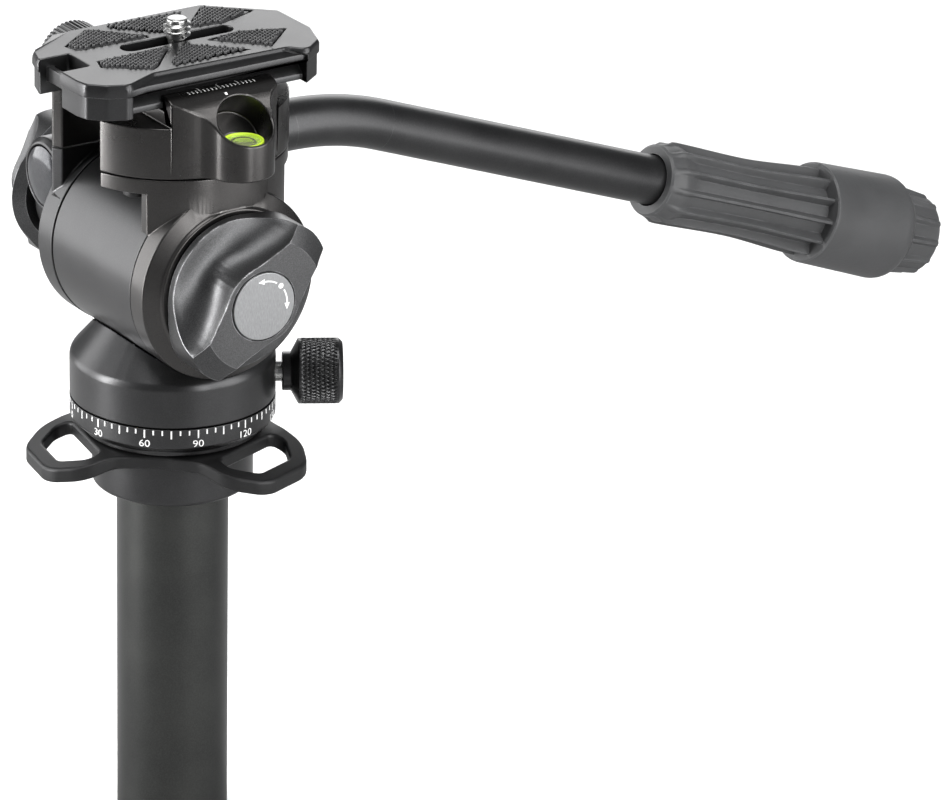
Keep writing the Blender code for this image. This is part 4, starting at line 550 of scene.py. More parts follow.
# Three carrying loops flow out of the plate under the scale and slope down.
loops = {
    "turns": (20, 140, 260), "hole": 5.06, "low": 98.7, "top": 101.7, "slope": 15.5, "bendStart": 18.8,
    "bendLength": 4.0, "bendCuts": 6, "edge": 0.75, "swell": 0.6, "swellLength": 5, "cutters": (90, 110),
    "outline": (
        (10.3, -17.8), (19.5, -14.6), (27.4, -13.6), (33.9, -7.4), (33.9, 7.4), (27.4, 13.6), (19.5, 14.6),
    ),
    "rounds": (14, 10, 9, 7.5, 7.5, 9, 10),
    "window": ((21.4, -9.6), (24.8, -10.2), (30.0, -5.6), (30.0, 5.6), (24.8, 10.2), (21.4, 9.6)),
    "windowRounds": (1.8, 3.2, 3.0, 3.0, 3.2, 1.8),
}
loopPlan, windows, ways = [], [], []
for turn in map(math.radians, loops["turns"]):
    spinPlan = Matrix.Rotation(turn, 2)
    loopPlan += [tuple(spinPlan @ Vector(point)) for point in loops["outline"]]
    window = roundCorners(loops["window"], loops["windowRounds"], 7)
    windows.append(slab([tuple(spinPlan @ Vector(point)) for point in window], *loops["cutters"]))
    ways.append(Vector((math.cos(turn), math.sin(turn), 0)))
loopPlan = roundCorners(loopPlan, loops["rounds"] * len(ways), 8)
made = solid(slab(loopPlan, loops["low"], loops["top"]))
carve(made, *windows, rod(loops["hole"], *loops["cutters"]))
build = reopen(softenEdges(made, loops["edge"], segments=4))
for way in ways:
    for step in range(loops["bendCuts"] + 1):
        cutAcross(build, way * (loops["bendStart"] + loops["bendLength"] * step / loops["bendCuts"]), way)
for vert in build.verts:
    past = max(0.0, max(way.dot(vert.co) for way in ways) - loops["bendStart"])
    bend = loops["bendLength"]
    run = past * past / (2 * bend) if past < bend else past - bend / 2
    drop = math.tan(math.radians(loops["slope"])) * run
    if vert.co.z < (loops["low"] + loops["top"]) / 2:
        drop += loops["swell"] * min(1, past / loops["swellLength"])
    vert.co.z -= drop
finishPiece(build, "base", "matt", "loop_plate")
print("stage: loops")

ring = {
    "radius": 23.7, "foot": 20.8, "lip": 22.7, "hole": 5.06, "post": 9.8, "seat": 15.3, "low": 102.0,
    "footTop": 103.2, "lipHeight": 104.2, "wallLow": 105.2, "postFloor": 108.3, "seatFloor": 109.3,
    "seam": heights["seam"], "rounds": [0, 0.3, 0.6, 0.4, 0.6, 0.12, 0, 0, 0, 0, 0],
}
outline = (
    "hole low, foot low, foot footTop, lip lipHeight, radius wallLow, radius seam, seat seam, "
    "seat seatFloor, post seatFloor, post postFloor, hole postFloor"
)
finishPiece(turned(ring, outline, 160), "base", "head", "scale_ring")

# A degree scale: a tick every 5, a longer one every 15, a number every 30.
marks = {
    "step": 5, "long": 15, "number": 30, "turn": -106.9, "width": 0.34, "longEnd": 107.55,
    "shortEnd": 108.35, "start": 109.5, "rise": 0.02, "sunk": 0.1, "textHeight": 1.7, "textLow": 105.42,
    "textWidth": 1.15, "textDepth": 0.06,
}


# Flat words as a closed mesh, standing on the line y = 0 about x = 0.
def textMesh(words, height, depth):
    curve = bpy.data.curves.new("words", "FONT")
    curve.body = words
    curve.size = height * 1.4
    curve.align_x = "CENTER"
    curve.extrude = depth
    curve.resolution_u = 4
    made = bpy.data.objects.new("words", curve)
    bpy.context.scene.collection.objects.link(made)
    graph = bpy.context.evaluated_depsgraph_get()
    graph.update()
    mesh = bpy.data.meshes.new_from_object(made.evaluated_get(graph))
    bpy.data.objects.remove(made, do_unlink=True)
    build = bmesh.new()
    build.from_mesh(mesh)
    bpy.data.meshes.remove(mesh)
    bmesh.ops.remove_doubles(build, verts=build.verts, dist=0.0001)
    return build


scaleParts = []
half = marks["width"] / 2
for degrees in range(0, 360, marks["step"]):
    place = math.radians(degrees + marks["turn"])
    end = marks["shortEnd"] if degrees % marks["long"] else marks["longEnd"]
    low, high = ring["radius"] - marks["sunk"], ring["radius"] + marks["rise"]
    scaleParts.append(twist(bar((low, -half, end), (high, half, marks["start"])), place))
    if degrees % marks["number"]:
        continue
    words = textMesh(str(degrees), marks["textHeight"], marks["textDepth"])
    for vert in words.verts:
        turn = place + vert.co.x * marks["textWidth"] / ring["radius"]
        radius = ring["radius"] - marks["textDepth"] + marks["rise"] + vert.co.z
        vert.co = (radius * math.cos(turn), radius * math.sin(turn), marks["textLow"] + vert.co.y)
    scaleParts.append(words)
finishPiece(joined(*scaleParts), "base", "ink", name="scaleMarks")
print("stage: scale ring")

# Heights in the housing and the pan lock are above the seam, those of the head above the tilt axis.
housing = {
    "radius": 23.7, "low": 0.3, "shoulder": 10.2, "neck": 15.6, "neckTop": 20.0, "flare": 16.6,
    "flareTop": 18.4, "post": 6.85, "seat": 15.3, "seatRoof": 0.7, "nut": 9.3, "nutFloor": 5.7,
    "nutRoof": 9.6, "saddle": 22.75, "ringRoom": 22.95, "left": -15.85, "right": 18.5, "stemHole": 2.7,
    "stemReach": (9.0, 26), "soften": 0.3, "rounds": [0, 0, 0, 0.12, 2.9, 0, 0, 0, 0, 0, 0, 0],
}
panKnob = {
    "turn": 60, "height": 4.7, "bore": 2.7, "neck": 4.5, "neckStart": 25.1, "cone": 27.1, "full": 28.8,
    "radius": 7.6, "end": 39.0, "chamferStart": 38.1, "face": 6.7, "floor": 30.8, "stem": 2.4,
    "stemStart": 18.7, "stemEnd": 30.5, "knurlSides": 46, "knurlPitch": 1.12, "knurlDepth": 0.36,
    "knurlLow": 29.4, "knurlHigh": 37.6, "knurlSharp": 2.2, "knurlFade": 0.3, "rowStep": 0.2, "rows": 42,
}
outline = (
    "post seatRoof, seat seatRoof, seat low, radius low, radius shoulder, flare flareTop, neck neckTop, "
    "0 neckTop, 0 nutRoof, nut nutRoof, nut nutFloor, post nutFloor"
)
shell = solid(shift(turned(housing, outline, 144, 7), z=heights["seam"]))
stemRoom = rodAlong(housing["stemHole"], *housing["stemReach"], sides=48)
twist(stemRoom, math.radians(panKnob["turn"]))
carve(
    shell, rodAlong(housing["saddle"], -far, far, "X", 180, tiltCentre),
    rodAlong(housing["ringRoom"], -far, housing["left"], "X", 180, tiltCentre),
    rodAlong(housing["ringRoom"], housing["right"], far, "X", 180, tiltCentre),
    shift(stemRoom, z=heights["seam"] + panKnob["height"]),
)
finishPiece(softenEdges(shell, housing["soften"]), "pan_body", "head", "pan_housing")

barrel = {
    "radius": 22.45, "left": -15.85, "right": 18.5, "inner": 19.45, "bore": 6.8, "flange": 8.3,
    "flangeSeat": -14.65, "floor": -12.85, "rounds": [0, 0, 0, 0.3, 0.3, 0, 0, 0],
}
outline = (
    "bore flangeSeat, flange flangeSeat, flange left, radius left, radius right, inner right, "
    "inner floor, bore floor"
)
made = turnTo(turned(barrel, outline, 160), "X")
finishPiece(made, "pan_body", "head", "tilt_barrel", place=tiltCentre)
print("stage: housing and barrel")


# Presses a diamond knurl into a skin about Z.
def knurledSkin(build, knob):
    low, high, fade = knob["knurlLow"], knob["knurlHigh"], knob["knurlFade"]
    for vert in build.verts:
        radius = math.hypot(vert.co.x, vert.co.y)
        if radius < knob["radius"] - 0.01 or not low < vert.co.z < high:
            continue
        turn = math.atan2(vert.co.y, vert.co.x) * knob["knurlSides"] / math.tau
        along = (vert.co.z - low) / knob["knurlPitch"] / 2
        cuts = [1 - abs(((turn + way * along) % 1) - 0.5) * 2 for way in (-1, 1)]
        depth = knob["knurlDepth"] * max(1 - min(1, cut * knob["knurlSharp"]) for cut in cuts)
        scale = 1 - depth * min(1, (vert.co.z - low) / fade, (high - vert.co.z) / fade) / radius
        vert.co.x *= scale
        vert.co.y *= scale


rowHeights = [panKnob["knurlLow"] + panKnob["rowStep"] * step for step in range(panKnob["rows"])]
outline = [
    *pick(panKnob, "bore neckStart, neck neckStart, neck cone, radius full"),
    *[(panKnob["radius"], height) for height in rowHeights],
    *pick(panKnob, "radius chamferStart, face end, 0 end, 0 floor, bore floor"),
]
rounds = [0, 0.3, 0.4, 0.3, *[0] * len(rowHeights), 0.25, 0.25, 0, 0, 0]
knurled = lathe(roundCorners(outline, rounds), 368)
knurledSkin(knurled, panKnob)
stem = rodAlong(panKnob["stem"], panKnob["stemStart"], panKnob["stemEnd"], sides=64)
turnTo(knurled, "X")
lift = Matrix.Translation((0, 0, heights["seam"] + panKnob["height"]))
for build, finish, node in ((knurled, "knurl", "pan_lock_knob"), (stem, "steel", "pan_lock_stem")):
    matrix = lift @ Matrix.Rotation(math.radians(panKnob["turn"]), 4, "Z")
    bmesh.ops.transform(build, matrix=matrix, verts=build.verts)
    finishPiece(build, "pan_lock", finish, node)
print("stage: pan lock")

cheek = {
    "ring": 22.6, "bore": 4.3, "leftInner": -16.15, "leftOuter": -22.9, "half": 18.2, "nose": 1.4,
    "noseX": -20.7, "slabInner": -18.5, "seam": 22.6, "leftBore": (-40, 0), "rightInner": 17.8,
    "rimEnd": 24.0, "foot": 19.0, "footEnd": 25.7, "face": 18.6, "rightOuter": 26.4, "rightBore": (10, 30),
    "barrelRoom": 22.8, "roomEnd": 18.8, "yoke": 26.1, "wallInner": 16.3, "ledgeInner": 9.0,
    "ledgeLow": 23.5, "ledgeTop": 27.0, "soften": 0.3, "screwX": 12.6, "screwY": 17.5, "screwHole": 1.8,
    "screwCut": (20, 34), "rounds": [0, 0, 0.8, 0],
}
half, noseHalf = cheek["half"], cheek["half"] + cheek["nose"]
slabPlan = [
    (cheek["slabInner"], -half), (cheek["slabInner"], half), (cheek["noseX"], noseHalf),
    (cheek["leftOuter"], half), (cheek["leftOuter"], -half), (cheek["noseX"], -noseHalf),
]
outline = "bore leftInner, ring leftInner, ring leftOuter, bore leftOuter"
left = solid(turnTo(turned(cheek, outline, 160, 1), "X"))
weldOn(left, slab(slabPlan, 0, cheek["seam"] - gap))
carve(left, rodAlong(cheek["bore"], *cheek["leftBore"], sides=48))
finishPiece(softenEdges(left, cheek["soften"]), "tilt_body", "head", "left_cheek", place=tiltCentre)

outline = "bore rightInner, ring rightInner, ring rimEnd, foot footEnd, face rightOuter, bore rightOuter"
right = solid(turnTo(lathe(pick(cheek, outline), 160), "X"))
turn = math.asin(half / cheek["yoke"])
wallPlan = [
    (cheek["wallInner"], -half), *arcPoints((0, 0), cheek["yoke"], -turn, turn, 48), (cheek["wallInner"], half),
]
turn = math.acos(cheek["ledgeInner"] / cheek["yoke"])
ledgePlan = arcPoints((0, 0), cheek["yoke"], -turn, turn, 80)
weldOn(right, slab(wallPlan, 0, cheek["ledgeLow"] + 1), slab(ledgePlan, cheek["ledgeLow"], cheek["ledgeTop"]))
carve(
    right, rodAlong(cheek["barrelRoom"], 0, cheek["roomEnd"], sides=180),
    rodAlong(cheek["bore"], *cheek["rightBore"], sides=48),
)
screwPlaces = [(cheek["screwX"], side * cheek["screwY"]) for side in (-1, 1)]
for x, y in screwPlaces:
    carve(right, shift(rod(cheek["screwHole"], *cheek["screwCut"], 32), x, y))
finishPiece(softenEdges(right, cheek["soften"]), "tilt_body", "pod", "right_cheek", place=tiltCentre)

ledgeScrew = {
    "head": 2.75, "headLow": 21.7, "headTop": 23.2, "shaft": 1.5, "top": 33.0, "socket": 1.25,
    "socketCut": (21, 22.7), "rounds": [0, 0.3, 0.2, 0, 0.2, 0],
}
outline = "0 headLow, head headLow, head headTop, shaft headTop, shaft top, 0 top"
for index, (x, y) in enumerate(screwPlaces):
    made = solid(turned(ledgeScrew, outline, 48))
    carve(made, rod(ledgeScrew["socket"], *ledgeScrew["socketCut"], 6))
    place = (x, y, heights["tiltAxis"])
    finishPiece(made, "tilt_body", "matt", f"ledge_screw_{index + 1}", place=place)
print("stage: cheeks")


# Centre of the fillet circle that touches two circles from outside.
def filletCentre(first, firstRadius, second, secondRadius, fillet, side):
    start, end = Vector(first), Vector(second)
    line = end - start
    near, past = firstRadius + fillet, secondRadius + fillet
    share = (near**2 - past**2 + line.length_squared) / (2 * line.length)
    rise = math.sqrt(near**2 - share**2)
    across = Vector((-line.y, line.x)).normalized()
    return start + line.normalized() * share + across * rise * side


pod = {
    "radius": 26.3, "inner": 9.0, "low": 27.3, "blockTop": 39.4, "top": 46.2, "boss": (25.4, 2.2),
    "bossRadius": 7.8, "fillet": 5.0, "bridgeLow": 34.6, "bridgeHalf": 16.0, "clampHalf": 14.0,
    "clampInner": -12.7, "clampCut": -16, "legLow": 22.6, "wide": 30, "soften": 0.4,
    "slope": (
        (18.6, 46.2), (20.2, 46.1), (21.3, 45.75), (22.4, 45.1), (23.4, 44.35), (24.2, 43.5), (24.9, 42.6),
        (25.7, 41.55), (26.6, 40.5), (27.6, 39.4), (28.8, 38.4), (30.0, 37.5), (31.1, 36.8), (32.2, 36.2),
        (33.3, 35.7),
    ),
    "levelHole": 6.6, "levelMouth": (27.2, 2.2, 39.6), "levelTilt": 45, "levelCut": (-7.6, 12),
    "levelRoom": 5.4, "levelRoomCut": (31.5, 40), "levelPlace": (26.5, 2.3), "screwRoom": 2.8,
    "screwCut": (-30, 7), "screwCentre": (0, -5.0, 37.0), "ledgeScrewCut": (20, 33.3),
}
dovetail = {"foot": 18.9, "low": 43.4, "high": 44.7, "neck": 16.7, "neckLow": 46.9}


# The round block from above, with the level's boss blended into it.
def podPlan(inner, half, radius):
    boss, fillet = pod["boss"], pod["fillet"]
    ends = []
    for side in (-1, 1):
        centre = filletCentre((0, 0), radius, boss, pod["bossRadius"], fillet, side)
        fromBoss = centre - Vector(boss)
        ends.append((centre, math.atan2(centre.y, centre.x), math.atan2(fromBoss.y, fromBoss.x)))
    (lowCentre, lowBlock, lowBoss), (highCentre, highBlock, highBoss) = ends
    lowest = -math.asin(min(1, half / radius))
    return [
        (inner, -half), *arcPoints((0, 0), radius, lowest, lowBlock, 24)[:-1],
        *arcPoints(lowCentre, fillet, lowBlock + math.pi, lowBoss + math.pi, 16),
        *arcPoints(boss, pod["bossRadius"], lowBoss, highBoss, 48)[1:-1],
        *arcPoints(highCentre, fillet, highBoss - math.pi, highBlock - math.pi, 16),
        *arcPoints((0, 0), radius, highBlock, -lowest, 24)[1:], (inner, half),
    ]


# Half of the dovetail rail's section, or of the room for it.
def railSection(clearance, top):
    foot, neck = dovetail["foot"] + clearance, dovetail["neck"] + clearance
    high, neckLow = dovetail["high"] + clearance / 2, dovetail["neckLow"] + clearance / 2
    return [(foot, dovetail["low"] - 2 * clearance), (foot, high), (neck, neckLow), (neck, top)]


def bothSides(half):
    return half + [(-x, height) for x, height in reversed(half)]


inner, wide, blockTop = pod["inner"], pod["wide"], pod["blockTop"]
widest = math.sqrt(pod["radius"] ** 2 - inner**2)
block = solid(slab(podPlan(inner, widest - 0.001, pod["radius"]), pod["low"], blockTop))
half = pod["bridgeHalf"]
bridge = bar((cheek["leftOuter"], -half, pod["bridgeLow"]), (inner + 1, half, blockTop))
weldOn(block, bridge, slab(slabPlan, pod["legLow"], blockTop))
raised = solid(slab(podPlan(pod["clampInner"], pod["clampHalf"], pod["radius"]), pod["low"] + 1, pod["top"]))
carve(raised, bar((pod["clampCut"], -wide, 20), (inner + 1, wide, blockTop - 1)))
weldOn(block, reopen(raised))
(slopeStart, _), (slopeEnd, slopeFoot) = pod["slope"][0], pod["slope"][-1]
slope = [
    *pod["slope"], (slopeEnd + 1, slopeFoot), (slopeEnd + 1, pod["top"] + 1), (slopeStart, pod["top"] + 1),
]
mouth = twist(rod(pod["levelHole"], *pod["levelCut"], 96), math.radians(pod["levelTilt"]), "Y")
room = shift(rod(pod["levelRoom"], *pod["levelRoomCut"], 96), *pod["levelPlace"])
railRoom = bothSides(railSection(gap, pod["top"] + 1))
carve(block, frontSlab(slope, -wide, wide), frontSlab(railRoom, -wide, wide))
carve(
    block, shift(mouth, *pod["levelMouth"]), room,
    rodAlong(pod["screwRoom"], *pod["screwCut"], "X", 48, pod["screwCentre"]),
)
for x, y in screwPlaces:
    carve(block, shift(rod(cheek["screwHole"], *pod["ledgeScrewCut"], 32), x, y))
finishPiece(softenEdges(block, pod["soften"], 32), "tilt_body", "pod", "clamp_body", place=tiltCentre)

# Plain ticks along the clamp's top edge, with an index dot at their middle.
podTicks = {
    "low": -8, "high": 9, "longEvery": 5, "end": 20.5, "short": 1.1, "long": 2.2, "width": 0.26,
    "index": (21.9, 0.4), "indexSize": 0.6, "sunk": 0.05, "rise": 0.02,
}


def slopeHeight(x):
    keys = pod["slope"]
    if x <= keys[0][0]:
        return pod["top"]
    for (low, first), (high, last) in zip(keys, keys[1:]):
        if x <= high:
            return first + (last - first) * (x - low) / (high - low)
    return keys[-1][1]


# A thin mark that lies on the slope, from one x to another.
def tickOnSlope(start, end, y, width):
    build = bar((start, y - width / 2, -podTicks["sunk"]), (end, y + width / 2, podTicks["rise"]))
    for step in range(1, 4):
        cutAcross(build, (start + (end - start) * step / 4, 0, 0), (1, 0, 0))
    for vert in build.verts:
        vert.co.z += slopeHeight(vert.co.x)
    return build


tickParts = []
for place in range(podTicks["low"], podTicks["high"] + 1):
    length = podTicks["short"] if place % podTicks["longEvery"] else podTicks["long"]
    tickParts.append(tickOnSlope(podTicks["end"] - length, podTicks["end"], place, podTicks["width"]))
x, y = podTicks["index"]
tickParts.append(tickOnSlope(x, x + podTicks["indexSize"], y, podTicks["indexSize"]))
finishPiece(joined(*tickParts), "tilt_body", "ink", name="clampMarks", place=tiltCentre)

level = {
    "radius": 4.7, "low": 31.8, "top": 35.3, "inner": 4.2, "fluidTop": 34.2, "dip": 2.52, "dipTop": 33.95,
    "middle": 33.85, "lens": 3.9, "lensLow": 34.5, "lensRim": 34.95, "lensHalf": 2.1, "lensRise": 35.24,
    "ring": (2.6, 2.9, 34.1, 34.25), "rounds": [0, 0.2, 0.25, 0.2, 0.1, 0, 0],
    "bubble": ((0, 34.05), (1.2, 34.1), (1.7, 34.2), (1.2, 34.3), (0, 34.35)),
}
vial = "0 low, radius low, radius top, inner top, inner fluidTop, dip dipTop, 0 middle"
lens = pick(level, "0 lensLow, lens lensLow, lens lensRim, lensHalf lensRise, 0 top")
for build, finish, node, name in (
    (turned(level, vial, 96), "fluid", "level_vial", None), (lathe(lens, 96), "lens", "level_lens", None),
    (lathe(rectangle(*level["ring"]), 64), "matt", None, "levelRing"),
    (lathe(level["bubble"], 48), "lens", None, "levelBubble"),
):
    finishPiece(build, "tilt_body", finish, node, name=name, place=(*pod["levelPlace"], heights["tiltAxis"]))

jaw = {
    "outer": -26.1, "skirtLow": 31.6, "skirtInner": -23.2, "foot": -13.0, "footLow": 39.7, "footTop": 42.8,
    "half": 13.0, "hole": 2.8, "holeCut": (-30, -20), "soften": 0.4,
}
lip = [(-x, height) for x, height in railSection(gap, pod["top"])]
lipEnd = lip[2][0] - (lip[2][1] - pod["top"])  # its slope stops at the clamp's top
section = [
    (jaw["outer"], jaw["skirtLow"]), (jaw["outer"], pod["top"]), (lipEnd, pod["top"]), lip[1], lip[0],
    *pick(jaw, "foot footTop, foot footLow, skirtInner footLow, skirtInner skirtLow"),
]
made = solid(frontSlab(section, -jaw["half"], jaw["half"]))
carve(made, rodAlong(jaw["hole"], *jaw["holeCut"], "X", 48, pod["screwCentre"]))
finishPiece(softenEdges(made, jaw["soften"]), "jaw", "head", "clamp_jaw", place=tiltCentre)

clampKnob = {
    "inner": -26.4, "neckEnd": -28.4, "outer": -37.4, "bore": 2.8, "neck": 4.6, "radius": 8.4,
    "ribStart": -31.0, "ribEnd": -36.4, "floor": -32.2, "flutes": 46, "fluteDepth": 0.3, "smooth": 8.0,
    "screwEnd": -31.9, "screw": 2.5, "screwInner": 6.0, "rounds": [0, 0.2, 0.3, 2.4, 0, 0, 0.9, 0, 0, 0],
}
outline = (
    "bore inner, neck inner, neck neckEnd, radius neckEnd, radius ribStart, radius ribEnd, radius outer, "
    "0 outer, 0 floor, bore floor"
)
ribbed = turned(clampKnob, outline, 368, 5)
for vert in ribbed.verts:
    radius = math.hypot(vert.co.x, vert.co.y)
    if radius < clampKnob["smooth"]:
        continue
    turn = math.atan2(vert.co.y, vert.co.x) * clampKnob["flutes"]
    scale = 1 - clampKnob["fluteDepth"] * (0.5 - 0.5 * math.cos(turn)) ** 2 / radius
    vert.co.x *= scale
    vert.co.y *= scale
shift(turnTo(ribbed, "X"), *pod["screwCentre"])
finishPiece(ribbed, "jaw_knob", "knurl", "clamp_knob", place=tiltCentre)
made = rodAlong(clampKnob["screw"], clampKnob["screwEnd"], clampKnob["screwInner"], "X", 64, pod["screwCentre"])
finishPiece(made, "jaw_knob", "steel", "clamp_screw", place=tiltCentre)
print("stage: clamp")

plate = {
    "top": 51.4, "topHalf": 18.2, "chamfer": 0.9, "flangeLow": 48.3, "flangeTop": 49.8, "inside": 49.0,
    "length": 31.5, "waist": 20.0, "lobeReach": 3.4, "farReach": 2.0, "lugLow": 42.9, "lugInset": 0.5,
    "lugStart": 22.6, "railEnd": 23.4, "soften": 0.26, "cut": (30, 60), "recessTop": 48.0,
    "strapFront": -30.6, "strapBar": 1.6, "strapBack": -25.0, "strapSides": (-3.7, 5.8), "barLow": 45.8,
    "barTop": 49.2, "slot": (-2.4, 2.4, -13.5, 15.5), "slotRound": 2.35, "recess": (-6.0, 6.0, -17.1, 19.1),
    "recessRound": 5.9,
    # Each corner: place at the chamfer's foot, how far the chamfer goes in, whether the flange spreads there.
    "corners": (
        (12.5, -33.0, 0.45, 0), (15.8, -32.2, 0.45, 0), (19.1, -28.7, 0.45, 0), (21.2, -23.9, 0.45, 0),
        (17.4, -15.3, 0.6, 1), (18.1, 19.4, 0.6, 1), (21.6, 22.5, 0.45, 0), (17.0, 28.4, 0.45, 0),
        (8.9, 31.3, 0.5, 0), (-4.6, 31.0, 0.5, 0), (-17.3, 17.4, 0.8, 1), (-17.3, -17.9, 0.8, 1),
        (-9.2, -31.4, 0.5, 0), (-4.5, -33.0, 0.45, 0),
    ),
    "rounds": (1.5, 2.0, 3.0, 2.4, 3.0, 2.0, 2.2, 3.0, 2.0, 1.4, 1.6, 1.6, 1.4, 1.0),
}


def unitSteps(points, index):
    here = Vector(points[index])
    back, on = here - Vector(points[index - 1]), Vector(points[(index + 1) % len(points)]) - here
    return here, Vector((-back.y, back.x)).normalized(), Vector((-on.y, on.x)).normalized()


# Plan of the camera plate: lobes at its near corners, plain cuts at its far ones.
def platePlan(inward, outward, trim=0.0):
    places = [(x, y) for x, y, *_ in plate["corners"]]
    made = []
    for index, (x, y, chamfer, flange) in enumerate(plate["corners"]):
        here, first, second = unitSteps(places, index)
        place = here + (first + second).normalized() * (chamfer * inward + trim)
        if flange and outward:
            reach = plate["lobeReach"] if x > 0 else plate["farReach"]
            place = Vector((math.copysign(plate["waist"], x), y + math.copysign(reach, y)))
        made.append(tuple(place))
    return roundCorners(made, plate["rounds"], 5)


low, high = plate["cut"]
made = solid(loftRings([
    [(x, y, height) for x, y in platePlan(inward, outward)] for height, inward, outward in (
        (plate["flangeLow"], 0, 1), (plate["flangeTop"], 0, 1), (plate["top"] - plate["chamfer"], 0, 0),
        (plate["top"], 1, 0),
    )
]))
weldOn(made, frontSlab(bothSides(railSection(0, plate["inside"])), -plate["railEnd"], plate["railEnd"]))
for side in (-1, 1):
    lug = solid(slab(platePlan(0, 1, plate["lugInset"]), plate["lugLow"], plate["inside"]))
    start, end = sorted((side * plate["lugStart"], side * far))
    combine(lug, "INTERSECT", bar((-far, start, low), (far, end, high)))
    weldOn(made, reopen(lug))
left, right = plate["strapSides"]
front, back = plate["strapFront"], plate["strapBack"]
carve(
    made, slab(roundCorners(rectangle(*plate["slot"]), plate["slotRound"], 12), low, high),
    slab(roundCorners(rectangle(*plate["recess"]), plate["recessRound"], 12), low, plate["recessTop"]),
    slab(roundCorners(rectangle(left, right, front + plate["strapBar"], back), 0.7, 4), low, high),
    bar((left, -far, plate["barTop"]), (right, back - 1, high)),
    bar((left, -far, low), (right, back - 1, plate["barLow"])), bar((left, -far, low), (right, front, high)),
)

pads = {
    "plans": {
        "front": ((0.225, -0.71), (0.44, -0.75), (0.83, -0.45), (0.77, -0.39), (0.26, -0.12), (0.19, -0.13)),
        "middle": ((0.72, -0.28), (0.86, -0.27), (0.84, 0.39), (0.19, 0.015)),
        "rear": ((0.24, 0.19), (0.85, 0.53), (0.385, 0.82), (0.18, 0.49)),
    },
    "floor": 50.7, "low": 51.0, "skin": 51.25, "top": 51.9, "dimple": 51.74, "round": 0.35, "bevel": 0.12,
    "rowPitch": 1.0, "nubPitch": 1.15, "nub": 0.44, "shoulder": 0.3256, "lip": 0.1848, "hollow": 0.16,
    "root": 51.05, "shoulderLow": 51.37, "edge": 0.25, "rows": 30, "columns": 20,
}


# Moves an outline inwards.
def insetPlan(points, distance):
    area = sum(a[0] * b[1] - b[0] * a[1] for a, b in zip(points, points[1:] + points[:1]))
    made = []
    for index in range(len(points)):
        here, first, second = unitSteps(points, index)
        first, both = first * math.copysign(1, area), (first + second).normalized() * math.copysign(1, area)
        made.append(tuple(here + both * min(distance / max(both.dot(first), 0.2), distance * 3)))
    return made


# How far inside a convex outline a point lies, negative outside.
def insideness(point, outline):
    pairs = list(zip(outline, outline[1:] + outline[:1]))
    area = sum(a[0] * b[1] - b[0] * a[1] for a, b in pairs)
    side, depths = math.copysign(1, area), []
    for a, b in pairs:
        edge, away = Vector(b) - Vector(a), Vector(point) - Vector(a)
        depths.append(side * (edge.x * away.y - edge.y * away.x) / edge.length)
    return min(depths)


padPlans = {}
for row, plan in pads["plans"].items():
    near = [(x * plate["topHalf"], y * plate["length"]) for x, y in plan]
    padPlans[row + "_right"] = near
    padPlans[row + "_left"] = [(-x, y) for x, y in reversed(near)]
    plans = [roundCorners(padPlans[f"{row}_{side}"], pads["round"], 3) for side in ("right", "left")]
    carve(made, *[slab(plan, pads["floor"], high) for plan in plans])
finishPiece(softenEdges(made, plate["soften"], segments=2), "plate", "head", "camera_plate", place=tiltCentre)
print("stage: plate")

outline = "hollow root, nub root, nub shoulderLow, shoulder top, lip top, hollow dimple"
nub = lathe(pick(pads, outline), 8)
nubMesh = bpy.data.meshes.new("nub")
nub.to_mesh(nubMesh)
nub.free()
for name, plan in padPlans.items():
    inset = insetPlan(plan, gap + pads["edge"])
    build = slab(roundCorners(inset, pads["round"], 3), pads["low"], pads["skin"], pads["bevel"])
    for row in range(-pads["rows"], pads["rows"] + 1):
        for step in range(-pads["columns"], pads["columns"] + 1):
            x, y = (step + (row % 2) / 2) * pads["nubPitch"], row * pads["rowPitch"]
            if insideness((x, y), plan) < gap + pads["edge"]:
                continue
            copy = nubMesh.copy()
            copy.transform(Matrix.Translation((x, y, 0)))
            build.from_mesh(copy)
            bpy.data.meshes.remove(copy)
    finishPiece(
        build, "plate", "pad", "plate_pad_" + name, name=camelName("pad_" + name), place=tiltCentre,
    )
print("stage: pads")

cameraScrew = {
    "y": 1.0, "head": 5.4, "headLow": 44.8, "headTop": 46.6, "neck": 2.05, "neckTop": 51.85, "radius": 3.15,
    "crest": 3.07, "core": 2.38, "root": 2.23, "threadLow": 51.55, "threadStart": 51.75, "top": 56.3,
    "pitch": 1.27, "coin": ((-0.7, -7, 44), (0.7, 7, 45.7)), "sides": 48,
    "rounds": [0, 0.3, 0.3, 0.2, 0, 0],
}


# A thread: one tooth is swept along the helix by spin, then joined to its core.
def threadedRod(screw):
    outline = roundCorners(pick(screw, "0 threadLow, core threadLow, core top, 0 top"), [0, 0.1, 0.5, 0], 4)
    core = lathe(outline, screw["sides"])
    build = bmesh.new()
    half, low = screw["pitch"] * 0.44, screw["threadStart"]
    profile = [
        (screw["root"], 0), (screw["crest"], half * 0.82), (screw["radius"], half),
        (screw["crest"], half * 1.18), (screw["root"], half * 2),
    ]
    tooth = [build.verts.new((radius, 0, low + height)) for radius, height in profile]
    edges = [build.edges.new((tooth[index - 1], tooth[index])) for index in range(len(tooth))]
    turns = (screw["top"] - low - 2 * half - 0.1) / screw["pitch"]
    steps = round(turns * screw["sides"])
    build.faces.new(tooth)
    made = bmesh.ops.spin(
        build, geom=edges, cent=(0, 0, 0), axis=(0, 0, 1), angle=math.tau * turns, steps=steps,
        dvec=(0, 0, screw["pitch"] * turns / steps), use_merge=False,
    )["geom_last"]
    bmesh.ops.contextual_create(build, geom=only(made, bmesh.types.BMVert))
    bmesh.ops.recalc_face_normals(build, faces=build.faces)
    return core, build


